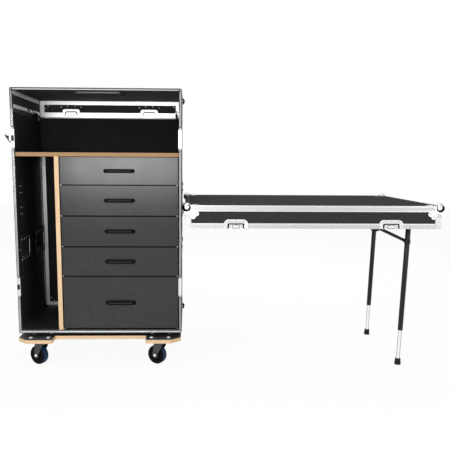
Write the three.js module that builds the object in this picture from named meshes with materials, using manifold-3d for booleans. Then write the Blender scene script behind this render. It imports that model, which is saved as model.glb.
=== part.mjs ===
// A road case with drawers on a wheeled board, with its front cover hung on the side as a work table.
// Millimetres, +Z up. The case is modelled with x = 0 on its centre line, y = 0 on the plane of its open
// front, +Y to the rear and z = 0 on the floor. The last lines move the origin below the middle of the whole.
import * as THREE from "three";
import { mergeVertices } from "three/addons/utils/BufferGeometryUtils.js";
import Module from "manifold-3d";

const wasm = await Module();
wasm.setup();

// Sizes shared by the case, its lid and the table
const CASE_WIDTH = 850;
const CASE_DEPTH = 541.5;
const BODY_HEIGHT = 1148.4;
const LID_HEIGHT = 107;
const WALL = 10; // thickness of the laminated panels
const BASE_WALL = 12; // thickness of the case's floor panel
const SHEET = 1.5; // thickness of the aluminium trim
const LIP = 1.2; // thickness of the inner lip of a closing rim and of pressed dishes
const LIP_DEPTH = 9.5;
const ANGLE_LEG = 30; // leg of the edge angles and of the closing rims
const FIT = 0.3; // clearance between pieces that seat on each other
const SEAM = 0.8; // gap between the rims of the body and the lid
const BALL_RADIUS = 21;
const BALL_INSET = 8; // from a case corner to the centre of its ball
const OVERRUN = 5; // by which a cutting shape passes the face it cuts
const WELD = 0.001; // vertices closer than this are one vertex

// Wheeled board
const CASTER_HEIGHT = 138; // floor to the underside of the board
const BOARD_THICKNESS = 19;
const BOARD_GAP = 16.6; // board to the underside of the case
const BOARD_SIDE_SETBACK = 3;
const BOARD_SETBACK = 5; // straight front and rear edges lie inside the case by this
const TAB_WIDTH = 130; // of a caster tab between its chamfer and its inner side
const TAB_CHAMFER = 55; // from the case's side to where the tab's chamfer starts
const TAB_REACH = 70; // tabs stand out past the case by this
const TAB_SHOULDER = 25; // the chamfer ends this far outside the case
const BATTEN_WIDTH = 40;
const BATTEN_SIDE_SETBACK = 45;
const BATTEN_SETBACK = 90;

// Casters
const CASTER_INSET = 111.5; // pivot inside the case's side
const CASTER_SETBACK = 14;
const CASTER_TURN = 150; // degrees from +X to the side where the wheels trail
const CASTER_TRAIL = 20;
const PLATE_LENGTH = 110;
const PLATE_WIDTH = 100;
const PLATE_THICKNESS = 4;
const BOLT_PITCH_X = 90;
const BOLT_PITCH_Y = 78;
const BOLT_DIAMETER = 8;
const WASHER_DIAMETER = 24;
const WASHER_THICKNESS = 2;
const NUT_DIAMETER = 14;
const NUT_HEIGHT = 6;
const RACE_DIAMETER = 52;
const FORK_TOP = 116;
const FORK_SHEET = 3;
const FORK_TOP_WIDTH = 46;
const FORK_TOP_EXTRA = 6; // more of its top on the trailing side
const FORK_FOOT_RADIUS = 15;
const CROWN_THICKNESS = 4;
const WHEEL_DIAMETER = 100;
const WHEEL_WIDTH = 36;
const WHEEL_ROUND = 6; // rounding of the tread's shoulders
const WHEEL_RECESS = 5; // depth of the core's side below the tyre
const TYRE_THICKNESS = 14;
const HUB_DIAMETER = 26;
const HUB_WIDTH = 38;
const WHEEL_CLEARANCE = 1.5; // hub to fork on each side
const AXLE_DIAMETER = 10;
const AXLE_NUT_DIAMETER = 18;
const AXLE_NUT_HEIGHT = 5;
const BORE_CLEARANCE = 1; // bore wider than what turns or slides in it

// Fittings inside the case
const SHELF_BOTTOM = 1093;
const SHELF_THICKNESS = 20;
const SHELF_SETBACK = 10;
const TALL_BAY_WIDTH = 206; // from the case's left side to the divider
const DIVIDER_THICKNESS = 22;
const BACK_BOARD_DROP = 5.3; // its upper edge below the body's
const BACK_BOARD_THICKNESS = 12;
const BACK_BOARD_SIDE_GAP = 8.5; // to the side panels
const INNER_TRIM = 23; // width of the angles inside the corners

// Drawers, from the top one down
const DRAWER_HEIGHTS = [144, 158, 160, 156, 284];
const DRAWER_GAP = 3; // between drawer fronts, above and below
const DRAWER_SETBACK = 20;
const FRONT_THICKNESS = 18;
const FRONT_SIDE_GAP_LEFT = 2; // to the divider
const FRONT_SIDE_GAP_RIGHT = 5; // to the wall, past the backs of the latch dishes
const BOX_REAR_GAP = 30; // to the rear panel
const BOX_WALL = 12;
const BOX_FLOOR = 8;
const BOX_RAISE = 12; // box floor above the lower edge of its front
const BOX_DROP = 18; // box walls below the upper edge of its front
const PULL_LENGTH = 155;
const PULL_HEIGHT = 20;
const PULL_THICKNESS = 5;
const PULL_STANDOFF = 17;
const PULL_POST = 14;
const RAIL_THICKNESS = 6.7;
const RAIL_HEIGHT = 20;
const RAIL_SHEET = 1.2;
const RAIL_FRONT = 40;
const RAIL_CLEARANCE = 0.6;
const PACKER_LEFT = 4;
const PACKER_RIGHT = 8.2;
const PACKER_WIDTH = 24;
const PACKER_FRONT = 200;
const PACKER_REAR_GAP = 35; // from the rear packer's front to the rear panel

// Latches and lifting grips in the sides
const LATCH_FROM_END = 247; // from the top or bottom of the case, and from the ends of the table
const LATCH_HEIGHT = 88;
const LATCH_DEPTH_Y = 72;
const LATCH_FLANGE_HEIGHT = 112;
const LATCH_FLANGE_REAR = 92;
const LATCH_PAN_DEPTH = 15.3; // from the case's outer face to the back of the pan
const LATCH_AXIS_Y = 40;
const CAM_DIAMETER = 30;
const CAM_HEIGHT = 3;
const HANDLE_LENGTH = 54;
const HANDLE_WIDTH = 34;
const HANDLE_THICKNESS = 5;
const WING_REACH = 30; // the open handle stands out past the case's side by this
const WING_HEIGHT = 35;
const WING_TIP = 9;
const WING_THICKNESS = 4;
const GRIP_Z = 611;
const GRIP_FRONT = 113;
const GRIP_REAR_INSET = 130.5; // from the case's rear face
const GRIP_PAN = 150;
const GRIP_PAN_DEPTH = 19.5;
const GRIP_FLANGE_LENGTH = 164;
const GRIP_FLANGE_HEIGHT = 160;
const BAIL_INSET = 6; // axis of the bail below the case's outer face
const BAIL_RISE = 48; // axis of the bail above the middle of its dish
const BAIL_ARM = 40;
const BAIL_ROD = 8;
const BAIL_HALF_WIDTH = 52;
const BAIL_GRIP_DIAMETER = 22;
const BAIL_GRIP_LENGTH = 90;

// Lid, its hinges and its gas struts
const TOP_DISH_LENGTH = 232;
const TOP_DISH_WIDTH = 162;
const TOP_DISH_FRONT = 53;
const TOP_DISH_DEPTH = 22;
const TOP_FLANGE = 14;
const HINGE_INSET = 196; // middle of a hinge inside the case's side
const HINGE_LENGTH = 101;
const HINGE_OUT = 7; // axis behind the case's rear face
const HINGE_LEAF = 1.2;
const HINGE_LEAF_HEIGHT = 50;
const HINGE_PAD = 4;
const KNUCKLE_DIAMETER = 10;
const KNUCKLE_LENGTH = 34;
const WEB_THICKNESS = 4;
const STRUT_INSET = 32; // axis inside the case's side
const STRUT_REACH = 226; // lid stud in front of the body stud
const STRUT_LID_RISE = 15.5; // lid stud above the seam
const STRUT_BODY_INSET = 41.5; // body stud in front of the case's rear face
const STRUT_BODY_DROP = 12; // body stud below the seam
const STRUT_CYLINDER_DIAMETER = 15;
const STRUT_CYLINDER_LENGTH = 130;
const STRUT_ROD_DIAMETER = 6;
const STRUT_ROD_OVERLAP = 90;
const STRUT_EYE_DIAMETER = 12;
const STRUT_EYE_WIDTH = 8;
const STUD_DIAMETER = 6;
const STUD_PLATE = 26;
const STUD_SHEET = 3;

// Front cover hung up as a table
const TABLE_GAP = 19.6; // case to table
const TABLE_LENGTH = 1255.4;
const TABLE_FRONT = -168;
const TABLE_TOP = 862.7;
const TABLE_HEIGHT = 112.7;
const TABLE_RIM_LEG = 26;
const KEEPER_LENGTH = 117;
const KEEPER_HEIGHT = 43;
const KEEPER_THICKNESS = 1.2;
const KEEPER_ROUND = 22; // of a keeper's upper corners
const END_PLATE_LENGTH = 172;
const END_PLATE_HEIGHT = 100;
const END_GRIP_DIAMETER = 24;
const END_GRIP_LENGTH = 150;

// Hanger between the case and the table
const HANGER_Y_NEAR = 83;
const HANGER_FAR_INSET = 110.5; // from the case's rear face
const HANGER_WIDTH = 46;
const HANGER_DROP = 84.7; // lower end below the table's top
const HANGER_HEIGHT = 178;
const HANGER_SHEET = 3;
const HANGER_RAIL_HEIGHT = 30;
const HANGER_BOLTS = [12, 128, 162]; // above the hanger's lower end
const HANGER_BOLT_DIAMETER = 12;
const HANGER_BOLT_HEIGHT = 4;
const LEDGE_RISE = 22; // above the hanger's lower end
const LEDGE_REACH = 9.4; // ledge out from the hanger plate
const LIP_RISE = 25.7; // upper edge of the ledge's lip above the ledge
const HOOK_SHEET = 2.4;
const HOOK_WIDTH = 40;
const HOOK_DROP = 19;
const HOOK_INSET = 2; // hanging leg of the hook off the hanger plate
const HOOK_PLATE_DROP = 10; // lower edge of the hooks' plates below the hanger

// Folding legs of the table
const LEG_END_INSET = 95; // pivot inside the table's far end
const LEG_PIVOT_DROP = 18; // pivot below the underside of the table top
const LEG_SIDE_INSET = 161.25; // from the table's long sides
const LEG_LEAN = 19; // by which a foot stands inward of its pivot
const LEG_DIAMETER = 26;
const LEG_UPPER_END = 189; // height of the upper tube's lower end
const LEG_BORE = 19;
const LOWER_DIAMETER = 18;
const LEG_BORE_DEPTH = 380;
const LOWER_OVERLAP = 190; // length of the lower tube inside the upper one
const FOOT_DIAMETER = 34;
const FOOT_HEIGHT = 33;
const PIVOT_TUBE_DIAMETER = 22;
const BEARING_WIDTH = 30;
const BEARING_LENGTH = 40;
const BEARING_FROM_LEG = 60;
const CLAMP_Z = 665;
const CLAMP_DIAMETER = 31;
const CLAMP_HEIGHT = 24;
const BRACE_OFFSET = 24; // braces run beside the legs
const BRACE_TOP_X = 1235;
const BRACE_DIAMETER = 16;
const BRACE_EYE_DIAMETER = 22;
const BRACE_PIN = 8;
const CROSS_ROD_DIAMETER = 14;
const STOP_THICKNESS = 16;
const STOP_WIDTH = 50;
const STOP_FROM_BRACE = 60;
const STOP_HEIGHT = 30;

// Facets of round pieces, as counts
const BALL_FACETS = 16;
const ROD_FACETS = 12;
const PIN_FACETS = 8;
const WHEEL_FACETS = 20;
const SHOULDER_STEPS = 2;
const ARC_STEPS = 6;

// Planes worked out from the sizes
const X_OUT = CASE_WIDTH / 2;
const X_PANEL = X_OUT - SHEET;
const X_IN = X_PANEL - WALL;
const RIM_FACE = SHEET + WALL + FIT + LIP;
const X_RIM = X_OUT - RIM_FACE;
const Y_PANEL = CASE_DEPTH - SHEET;
const Y_IN = Y_PANEL - WALL;
const Y_FRONT_PANEL = SHEET + FIT;
const BOARD_HALF_WIDTH = X_OUT - BOARD_SIDE_SETBACK;
const TAB_OUTER = X_OUT - TAB_CHAMFER;
const TAB_INNER = TAB_OUTER - TAB_WIDTH;
const BATTEN_HALF_LENGTH = X_OUT - BATTEN_SIDE_SETBACK;
const CASTER_X = X_OUT - CASTER_INSET;
const DIVIDER_LEFT = TALL_BAY_WIDTH - X_OUT;
const BACK_BOARD_HALF_WIDTH = X_IN - BACK_BOARD_SIDE_GAP;
const BOX_REAR = Y_IN - BOX_REAR_GAP;
const PACKER_REAR = Y_IN - PACKER_REAR_GAP;
const GRIP_REAR = CASE_DEPTH - GRIP_REAR_INSET;
const HINGE_X = X_OUT - HINGE_INSET;
const STRUT_X = X_OUT - STRUT_INSET;
const STRUT_BODY_Y = CASE_DEPTH - STRUT_BODY_INSET;
const STRUT_LID_Y = STRUT_BODY_Y - STRUT_REACH;
const BOARD_TOP = CASTER_HEIGHT + BOARD_THICKNESS;
const Z_BASE = BOARD_TOP + BOARD_GAP;
const Z_BASE_PANEL = Z_BASE + SHEET;
const Z_FLOOR = Z_BASE_PANEL + BASE_WALL;
const Z_SEAM = Z_BASE + BODY_HEIGHT;
const Z_BODY_TOP = Z_SEAM - SEAM / 2;
const Z_LID_LOW = Z_SEAM + SEAM / 2;
const Z_TOP = Z_SEAM + LID_HEIGHT;
const Z_LID_PANEL = Z_TOP - SHEET;
const Z_CEILING = Z_LID_PANEL - WALL;
const SHELF_TOP = SHELF_BOTTOM + SHELF_THICKNESS;
const DIVIDER_RIGHT = DIVIDER_LEFT + DIVIDER_THICKNESS;
const RAIL_LEFT = DIVIDER_RIGHT + FIT + PACKER_LEFT;
const RAIL_RIGHT = X_IN - FIT - PACKER_RIGHT;
const BOX_LEFT = RAIL_LEFT + RAIL_THICKNESS + FIT;
const BOX_RIGHT = RAIL_RIGHT - RAIL_THICKNESS - FIT;
const LATCH_HEIGHTS = [Z_TOP - LATCH_FROM_END, Z_BASE + LATCH_FROM_END];
const TABLE_LEFT = X_OUT + TABLE_GAP;
const TABLE_RIGHT = TABLE_LEFT + TABLE_LENGTH;
const TABLE_REAR = TABLE_FRONT + CASE_WIDTH;
const TABLE_MIDDLE = (TABLE_FRONT + TABLE_REAR) / 2;
const TABLE_LOW = TABLE_TOP - TABLE_HEIGHT;
const TABLE_UNDERSIDE = TABLE_TOP - SHEET - WALL;
const LEG_PIVOT_X = TABLE_RIGHT - LEG_END_INSET;
const LEG_PIVOT_Z = TABLE_UNDERSIDE - LEG_PIVOT_DROP;
const LEG_YS = [TABLE_FRONT + LEG_SIDE_INSET, TABLE_REAR - LEG_SIDE_INSET];
const HANGER_Y_FAR = CASE_DEPTH - HANGER_FAR_INSET;
const HANGER_LOW = TABLE_TOP - HANGER_DROP;
const HANGER_HIGH = HANGER_LOW + HANGER_HEIGHT;
const LEDGE_Z = HANGER_LOW + LEDGE_RISE;
const LIP_TOP = LEDGE_Z + LIP_RISE;
const HOOK_PLATE_LOW = HANGER_LOW - HOOK_PLATE_DROP;
const HINGE_Y = CASE_DEPTH + HINGE_OUT;
const STRUT_LID = new THREE.Vector2(STRUT_LID_Y, Z_SEAM + STRUT_LID_RISE);
const STRUT_BODY = new THREE.Vector2(STRUT_BODY_Y, Z_SEAM - STRUT_BODY_DROP);
const BALL_OUT = BALL_RADIUS - BALL_INSET;

// Finishes, as colour, roughness and metalness
const FINISHES = {
  laminate: [0x17181b, 0.55, 0],
  aluminium: [0xc9cbcd, 0.4, 0.9],
  zinc: [0xb9bcc0, 0.35, 0.95],
  chrome: [0xdadcdf, 0.15, 1],
  drawerFront: [0x2b2c30, 0.5, 0],
  plywood: [0xb58a58, 0.7, 0],
  blackSteel: [0x121214, 0.4, 0.4],
  blueTyre: [0x1f4fa8, 0.6, 0],
  rubber: [0x0e0e0f, 0.85, 0],
};

// A closed three.js geometry as a solid that can be joined and cut.
function solidOf(geometry) {
  const bare = geometry.index ? geometry.toNonIndexed() : geometry.clone();
  bare.deleteAttribute("normal");
  bare.deleteAttribute("uv");
  const merged = mergeVertices(bare, WELD);
  const vertProperties = merged.attributes.position.array;
  const triVerts = new Uint32Array(merged.index.array);
  return new wasm.Manifold(new wasm.Mesh({ numProp: 3, vertProperties, triVerts }));
}

function join(...solids) {
  return solids.reduce((whole, solid) => whole.add(solid));
}

function cut(whole, ...tools) {
  return tools.reduce((left, tool) => left.subtract(tool), whole);
}

// A box between two planes on each axis, with its corners exactly on them.
function block(x1, x2, y1, y2, z1, z2) {
  const geometry = new THREE.BoxGeometry();
  const place = geometry.attributes.position;
  const pick = (sign, a, b) => (sign > 0 ? Math.max(a, b) : Math.min(a, b));
  for (let i = 0; i < place.count; i += 1) {
    const x = pick(place.getX(i), x1, x2);
    const y = pick(place.getY(i), y1, y2);
    const z = pick(place.getZ(i), z1, z2);
    place.setXYZ(i, x, y, z);
  }
  return solidOf(geometry);
}

// A round bar between two points.
function rod(from, to, diameter, facets = ROD_FACETS) {
  const start = new THREE.Vector3(...from);
  const end = new THREE.Vector3(...to);
  const along = end.clone().sub(start);
  const geometry = new THREE.CylinderGeometry(diameter / 2, diameter / 2, along.length(), facets);
  const upright = new THREE.Vector3(0, 1, 0);
  geometry.applyQuaternion(new THREE.Quaternion().setFromUnitVectors(upright, along.normalize()));
  const middle = start.add(end).multiplyScalar(1 / 2);
  geometry.translate(middle.x, middle.y, middle.z);
  return solidOf(geometry);
}

// An outline extruded along one axis. Its points are (x, y) along z, (y, z) along x and (x, z) along y.
function prism(points, axis, from, to) {
  const low = Math.min(from, to);
  const high = Math.max(from, to);
  const shape = new THREE.Shape(points.map(([u, v]) => new THREE.Vector2(u, v)));
  const geometry = new THREE.ExtrudeGeometry(shape, { depth: high - low, bevelEnabled: false });
  const x = new THREE.Vector3(1, 0, 0);
  const y = new THREE.Vector3(0, 1, 0);
  const z = new THREE.Vector3(0, 0, 1);
  const turn = new THREE.Matrix4();
  if (axis === "x") turn.makeBasis(y, z, x).setPosition(low, 0, 0);
  if (axis === "y") turn.makeBasis(x, z, y.negate()).setPosition(0, high, 0);
  if (axis === "z") turn.makeBasis(x, y, z).setPosition(0, 0, low);
  geometry.applyMatrix4(turn);
  return solidOf(geometry);
}

// Points on an arc in a plane, from one angle to another in degrees.
function arc(u, v, radius, start, end, steps = ARC_STEPS) {
  return Array.from({ length: steps + 1 }, (_, i) => {
    const angle = THREE.MathUtils.degToRad(start + ((end - start) * i) / steps);
    return [u + radius * Math.cos(angle), v + radius * Math.sin(angle)];
  });
}

// A slot outline with round ends, its length along the first coordinate.
function stadium(u, v, length, width) {
  const reach = (length - width) / 2;
  return [...arc(u + reach, v, width / 2, -90, 90), ...arc(u - reach, v, width / 2, 90, 270)];
}

function ball(x, y, z) {
  const geometry = new THREE.SphereGeometry(BALL_RADIUS, BALL_FACETS, BALL_FACETS / 2);
  geometry.translate(x, y, z);
  return solidOf(geometry);
}

// A rectangular ring between two insets from the table's outline.
function tableRing(outer, inner, z1, z2) {
  const loop = (inset, low, high) =>
    block(
      TABLE_LEFT + inset,
      TABLE_RIGHT - inset,
      TABLE_FRONT + inset,
      TABLE_REAR - inset,
      low,
      high,
    );
  return cut(loop(outer, z1, z2), loop(inner, z1 - OVERRUN, z2 + OVERRUN));
}

function addPiece(group, name, solid, finish) {
  const made = solid.getMesh();
  const geometry = new THREE.BufferGeometry();
  geometry.setAttribute("position", new THREE.BufferAttribute(made.vertProperties, 3));
  geometry.setIndex(new THREE.BufferAttribute(made.triVerts, 1));
  geometry.computeVertexNormals();
  const [color, roughness, metalness] = FINISHES[finish];
  const material = new THREE.MeshStandardMaterial({ color, roughness, metalness });
  const mesh = new THREE.Mesh(geometry, material);
  mesh.name = name;
  group.add(mesh);
}

// Pan of a lifting grip, and the space in it. The side is -1 for left and 1 for right.
function gripPan(side, y) {
  const half = GRIP_PAN / 2;
  const back = X_OUT - GRIP_PAN_DEPTH;
  const flangeY = GRIP_FLANGE_LENGTH / 2;
  const flangeZ = GRIP_FLANGE_HEIGHT / 2;
  const pan = block(side * back, side * X_OUT, y - half, y + half, GRIP_Z - half, GRIP_Z + half);
  const flange = block(
    side * X_PANEL,
    side * X_OUT,
    y - flangeY,
    y + flangeY,
    GRIP_Z - flangeZ,
    GRIP_Z + flangeZ,
  );
  const inner = half - LIP;
  const space = block(
    side * (back + LIP),
    side * (X_OUT + OVERRUN),
    y - inner,
    y + inner,
    GRIP_Z - inner,
    GRIP_Z + inner,
  );
  return { shell: join(pan, flange), space };
}

function sidePanel(side) {
  const top = Z_BODY_TOP - SHEET - FIT;
  let panel = block(side * X_IN, side * X_PANEL, Y_FRONT_PANEL, Y_PANEL, Z_BASE_PANEL, top);
  for (const z of LATCH_HEIGHTS) {
    const half = LATCH_HEIGHT / 2 + LIP + FIT;
    const window = block(
      side * (X_IN - OVERRUN),
      side * (X_PANEL + OVERRUN),
      -OVERRUN,
      LATCH_DEPTH_Y + FIT,
      z - half,
      z + half,
    );
    panel = cut(panel, window);
  }
  for (const y of [GRIP_FRONT, GRIP_REAR]) {
    const { shell, space } = gripPan(side, y);
    panel = cut(join(panel, shell), space);
  }
  return panel;
}

function basePanel() {
  const half = X_IN - FIT;
  return block(-half, half, Y_FRONT_PANEL, Y_IN - FIT, Z_BASE_PANEL, Z_FLOOR);
}

function rearPanel() {
  const half = X_IN - FIT;
  return block(-half, half, Y_IN, Y_PANEL, Z_BASE_PANEL, Z_BODY_TOP - SHEET - FIT);
}

// A closing rim along the three closed sides at the seam: its face lies at z1 and its legs reach to z2.
function seamRim(z1, direction) {
  const face = z1 + direction * SHEET;
  const leg = z1 + direction * ANGLE_LEG;
  const lip = z1 + direction * LIP_DEPTH;
  const pieces = [
    block(-X_OUT, X_OUT, CASE_DEPTH - RIM_FACE, CASE_DEPTH, z1, face),
    block(-X_OUT, X_OUT, Y_PANEL, CASE_DEPTH, z1, leg),
    block(-X_RIM, X_RIM, CASE_DEPTH - RIM_FACE, CASE_DEPTH - RIM_FACE + LIP, z1, lip),
  ];
  for (const side of [-1, 1]) {
    pieces.push(block(side * X_RIM, side * X_OUT, 0, CASE_DEPTH, z1, face));
    pieces.push(block(side * X_PANEL, side * X_OUT, 0, CASE_DEPTH, z1, leg));
    const lipRear = CASE_DEPTH - RIM_FACE + LIP;
    pieces.push(block(side * X_RIM, side * (X_RIM + LIP), 0, lipRear, z1, lip));
  }
  return join(...pieces);
}

// An upright of the closing rim round the open front. Its lip stops at the panel that it meets.
function frontUpright(side, z1, z2, lip1, lip2) {
  return join(
    block(side * X_RIM, side * X_OUT, 0, SHEET, z1, z2),
    block(side * X_PANEL, side * X_OUT, 0, ANGLE_LEG, z1, z2),
    block(side * X_RIM, side * (X_RIM + LIP), 0, LIP_DEPTH, lip1, lip2),
  );
}

// Half of a lid hinge: its leaf and its knuckles. The direction is -1 for the body's half, 1 for the lid's.
function hingeHalf(x, direction) {
  const half = HINGE_LENGTH / 2;
  const rear = CASE_DEPTH + HINGE_LEAF;
  const start = Z_SEAM + (direction * SEAM) / 2;
  const end = start + direction * HINGE_LEAF_HEIGHT;
  const leaf = block(x - half, x + half, Y_PANEL + SHEET / 2, rear, start, end);
  const inner = KNUCKLE_LENGTH / 2;
  const spans = direction > 0 ? [[-inner, inner]] : [[-half, -inner - FIT], [inner + FIT, half]];
  const knuckles = spans.map(([a, b]) => {
    const barrel = rod([x + a, HINGE_Y, Z_SEAM], [x + b, HINGE_Y, Z_SEAM], KNUCKLE_DIAMETER);
    const web = block(x + a, x + b, CASE_DEPTH, HINGE_Y, start, start + direction * WEB_THICKNESS);
    return join(barrel, web);
  });
  return join(leaf, ...knuckles);
}

function bodyRim() {
  const bottomFace = Z_FLOOR + FIT + LIP;
  let rim = join(
    seamRim(Z_BODY_TOP, -1),
    frontUpright(-1, Z_BASE, Z_BODY_TOP, Z_FLOOR + FIT, Z_BODY_TOP),
    frontUpright(1, Z_BASE, Z_BODY_TOP, Z_FLOOR + FIT, Z_BODY_TOP),
    bodyStud(-1),
    bodyStud(1),
    block(-X_OUT, X_OUT, 0, SHEET, Z_BASE, bottomFace),
    block(-X_OUT, X_OUT, 0, ANGLE_LEG, Z_BASE, Z_BASE_PANEL),
    block(-X_RIM, X_RIM, 0, LIP_DEPTH, Z_FLOOR + FIT, bottomFace),
    hingeHalf(-HINGE_X, -1),
    hingeHalf(HINGE_X, -1),
  );
  for (const side of [-1, 1]) {
    for (const z of LATCH_HEIGHTS) {
      const half = LATCH_HEIGHT / 2 + LIP + FIT;
      const beyond = side * (X_OUT + OVERRUN);
      const lipFace = side * (X_RIM + LIP);
      const notch = block(lipFace, beyond, -OVERRUN, ANGLE_LEG + OVERRUN, z - half, z + half);
      const front = block(side * (X_RIM - OVERRUN), beyond, -OVERRUN, SHEET, z - half, z + half);
      rim = cut(rim, notch, front);
    }
  }
  return rim;
}

// Angle along a rear upright edge.
function rearUpright(side, z1, z2) {
  return join(
    block(side * X_PANEL, side * X_OUT, CASE_DEPTH - ANGLE_LEG, CASE_DEPTH, z1, z2),
    block(side * (X_OUT - ANGLE_LEG), side * X_OUT, Y_PANEL, CASE_DEPTH, z1, z2),
  );
}

// Angles round the closed bottom or top edges. The face is the outer plane and the direction points inward.
function edgeAngles(face, direction, front) {
  const sheet = face + direction * SHEET;
  const leg = face + direction * ANGLE_LEG;
  const pieces = [
    block(-X_OUT, X_OUT, CASE_DEPTH - ANGLE_LEG, CASE_DEPTH, face, sheet),
    block(-X_OUT, X_OUT, Y_PANEL, CASE_DEPTH, face, leg),
  ];
  for (const side of [-1, 1]) {
    pieces.push(block(side * (X_OUT - ANGLE_LEG), side * X_OUT, front, CASE_DEPTH, face, sheet));
    pieces.push(block(side * X_PANEL, side * X_OUT, front, CASE_DEPTH, face, leg));
  }
  return join(...pieces);
}

// Ball corners at the two rear corners next to a face, hollowed where the panels are.
function rearBalls(face, direction) {
  const z = face + direction * BALL_INSET;
  const hollow = block(
    -X_PANEL - FIT,
    X_PANEL + FIT,
    0,
    Y_PANEL + FIT,
    face + direction * (SHEET - FIT),
    face + direction * LID_HEIGHT,
  );
  const balls = [-1, 1].map((side) =>
    cut(ball(side * (X_OUT - BALL_INSET), CASE_DEPTH - BALL_INSET, z), hollow),
  );
  return join(...balls);
}

function bodyEdgeTrim() {
  const top = Z_BODY_TOP - ANGLE_LEG - FIT;
  return join(
    edgeAngles(Z_BASE, 1, ANGLE_LEG + FIT),
    rearUpright(-1, Z_BASE, top),
    rearUpright(1, Z_BASE, top),
    rearBalls(Z_BASE, 1),
  );
}

// Angles in the rear corner, along the rear of the floor and along the left of it, in the tall bay.
function innerCornerTrim() {
  const left = -X_IN + FIT;
  const right = DIVIDER_LEFT - FIT;
  const rear = Y_IN - FIT;
  const floor = Z_FLOOR + FIT;
  return join(
    block(left, left + INNER_TRIM, rear - SHEET, rear, floor, SHELF_BOTTOM - FIT),
    block(left, left + SHEET, rear - INNER_TRIM, rear, floor, SHELF_BOTTOM - FIT),
    block(left, right, rear - SHEET, rear, floor, floor + INNER_TRIM),
    block(left, right, rear - INNER_TRIM, rear, floor, floor + SHEET),
    block(left, left + SHEET, LIP_DEPTH + FIT, rear, floor, floor + INNER_TRIM),
    block(left, left + INNER_TRIM, LIP_DEPTH + FIT, rear, floor, floor + SHEET),
  );
}

function workShelf() {
  const half = X_IN - FIT;
  return block(-half, half, SHELF_SETBACK, Y_IN - FIT, SHELF_BOTTOM, SHELF_TOP);
}

function drawerDivider() {
  return block(DIVIDER_LEFT, DIVIDER_RIGHT, SHELF_SETBACK, Y_IN - FIT, Z_FLOOR + FIT, SHELF_BOTTOM - FIT);
}

// The board stands on the shelf, against the rear panel and below the lid's struts.
function upperBackBoard() {
  const rear = Y_IN - LIP - FIT - FIT;
  const half = BACK_BOARD_HALF_WIDTH;
  const low = SHELF_TOP + FIT;
  const high = Z_BODY_TOP - BACK_BOARD_DROP;
  return block(-half, half, rear - BACK_BOARD_THICKNESS, rear, low, high);
}

// The drawers' lower and upper limits, from the top drawer down.
function drawerLimits() {
  let top = SHELF_BOTTOM;
  return DRAWER_HEIGHTS.map((height) => {
    const limits = [top - height, top];
    top -= height;
    return limits;
  });
}

// Five channel rails that open towards the drawers, joined by two upright packers.
function runnerSet(side) {
  const backs = side < 0 ? RAIL_LEFT : RAIL_RIGHT;
  const packer = side < 0 ? PACKER_LEFT : PACKER_RIGHT;
  const mouth = backs - side * RAIL_THICKNESS;
  const limits = drawerLimits();
  const low = limits.at(-1)[0] + DRAWER_GAP;
  const high = limits[0][1] - DRAWER_GAP;
  const pieces = [];
  for (const y of [PACKER_FRONT, PACKER_REAR]) {
    pieces.push(block(backs + side * packer, backs - side * RAIL_SHEET, y, y + PACKER_WIDTH, low, high));
  }
  for (const [bottom, top] of limits) {
    const z = (bottom + top) / 2;
    const half = RAIL_HEIGHT / 2;
    const rail = block(backs, mouth, RAIL_FRONT, PACKER_REAR + PACKER_WIDTH, z - half, z + half);
    const inner = half - RAIL_SHEET;
    const space = block(
      backs - side * RAIL_SHEET,
      mouth - side * OVERRUN,
      RAIL_FRONT - OVERRUN,
      PACKER_REAR + PACKER_WIDTH + OVERRUN,
      z - inner,
      z + inner,
    );
    pieces.push(cut(rail, space));
  }
  return join(...pieces);
}

// An open-topped box with the sliding members of its runners on both sides.
function drawerBox([bottom, top]) {
  const low = bottom + BOX_RAISE;
  const high = top - BOX_DROP;
  const front = DRAWER_SETBACK + FRONT_THICKNESS + FIT;
  const shell = cut(
    block(BOX_LEFT, BOX_RIGHT, front, BOX_REAR, low, high),
    block(
      BOX_LEFT + BOX_WALL,
      BOX_RIGHT - BOX_WALL,
      front + BOX_WALL,
      BOX_REAR - BOX_WALL,
      low + BOX_FLOOR,
      high + OVERRUN,
    ),
  );
  const z = (bottom + top) / 2;
  const half = RAIL_HEIGHT / 2 - RAIL_SHEET - RAIL_CLEARANCE;
  const reach = RAIL_THICKNESS - RAIL_SHEET - RAIL_CLEARANCE + FIT;
  const members = [
    block(BOX_LEFT - reach, BOX_LEFT + BOX_WALL, RAIL_FRONT, BOX_REAR, z - half, z + half),
    block(BOX_RIGHT + reach, BOX_RIGHT - BOX_WALL, RAIL_FRONT, BOX_REAR, z - half, z + half),
  ];
  return join(shell, ...members);
}

// A drawer front with its bow pull.
function drawerFront([bottom, top]) {
  const left = DIVIDER_RIGHT + FRONT_SIDE_GAP_LEFT;
  const right = X_IN - FRONT_SIDE_GAP_RIGHT;
  const rear = DRAWER_SETBACK + FRONT_THICKNESS;
  const low = bottom + DRAWER_GAP / 2;
  const high = top - DRAWER_GAP / 2;
  const board = block(left, right, DRAWER_SETBACK, rear, low, high);
  const x = (left + right) / 2;
  const z = (low + high) / 2;
  const face = DRAWER_SETBACK - PULL_STANDOFF;
  const bow = prism(stadium(x, z, PULL_LENGTH, PULL_HEIGHT), "y", face, face + PULL_THICKNESS);
  const reach = (PULL_LENGTH - PULL_POST) / 2;
  const posts = [-reach, reach].map((offset) =>
    rod(
      [x + offset, face + PULL_THICKNESS / 2, z],
      [x + offset, DRAWER_SETBACK + OVERRUN, z],
      PULL_POST,
      PIN_FACETS,
    ),
  );
  return join(board, bow, ...posts);
}

// The caster's four bolt places round its pivot.
function boltPlaces(x, y) {
  const dx = BOLT_PITCH_X / 2;
  const dy = BOLT_PITCH_Y / 2;
  return [
    [x - dx, y - dy],
    [x + dx, y - dy],
    [x - dx, y + dy],
    [x + dx, y + dy],
  ];
}

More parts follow.
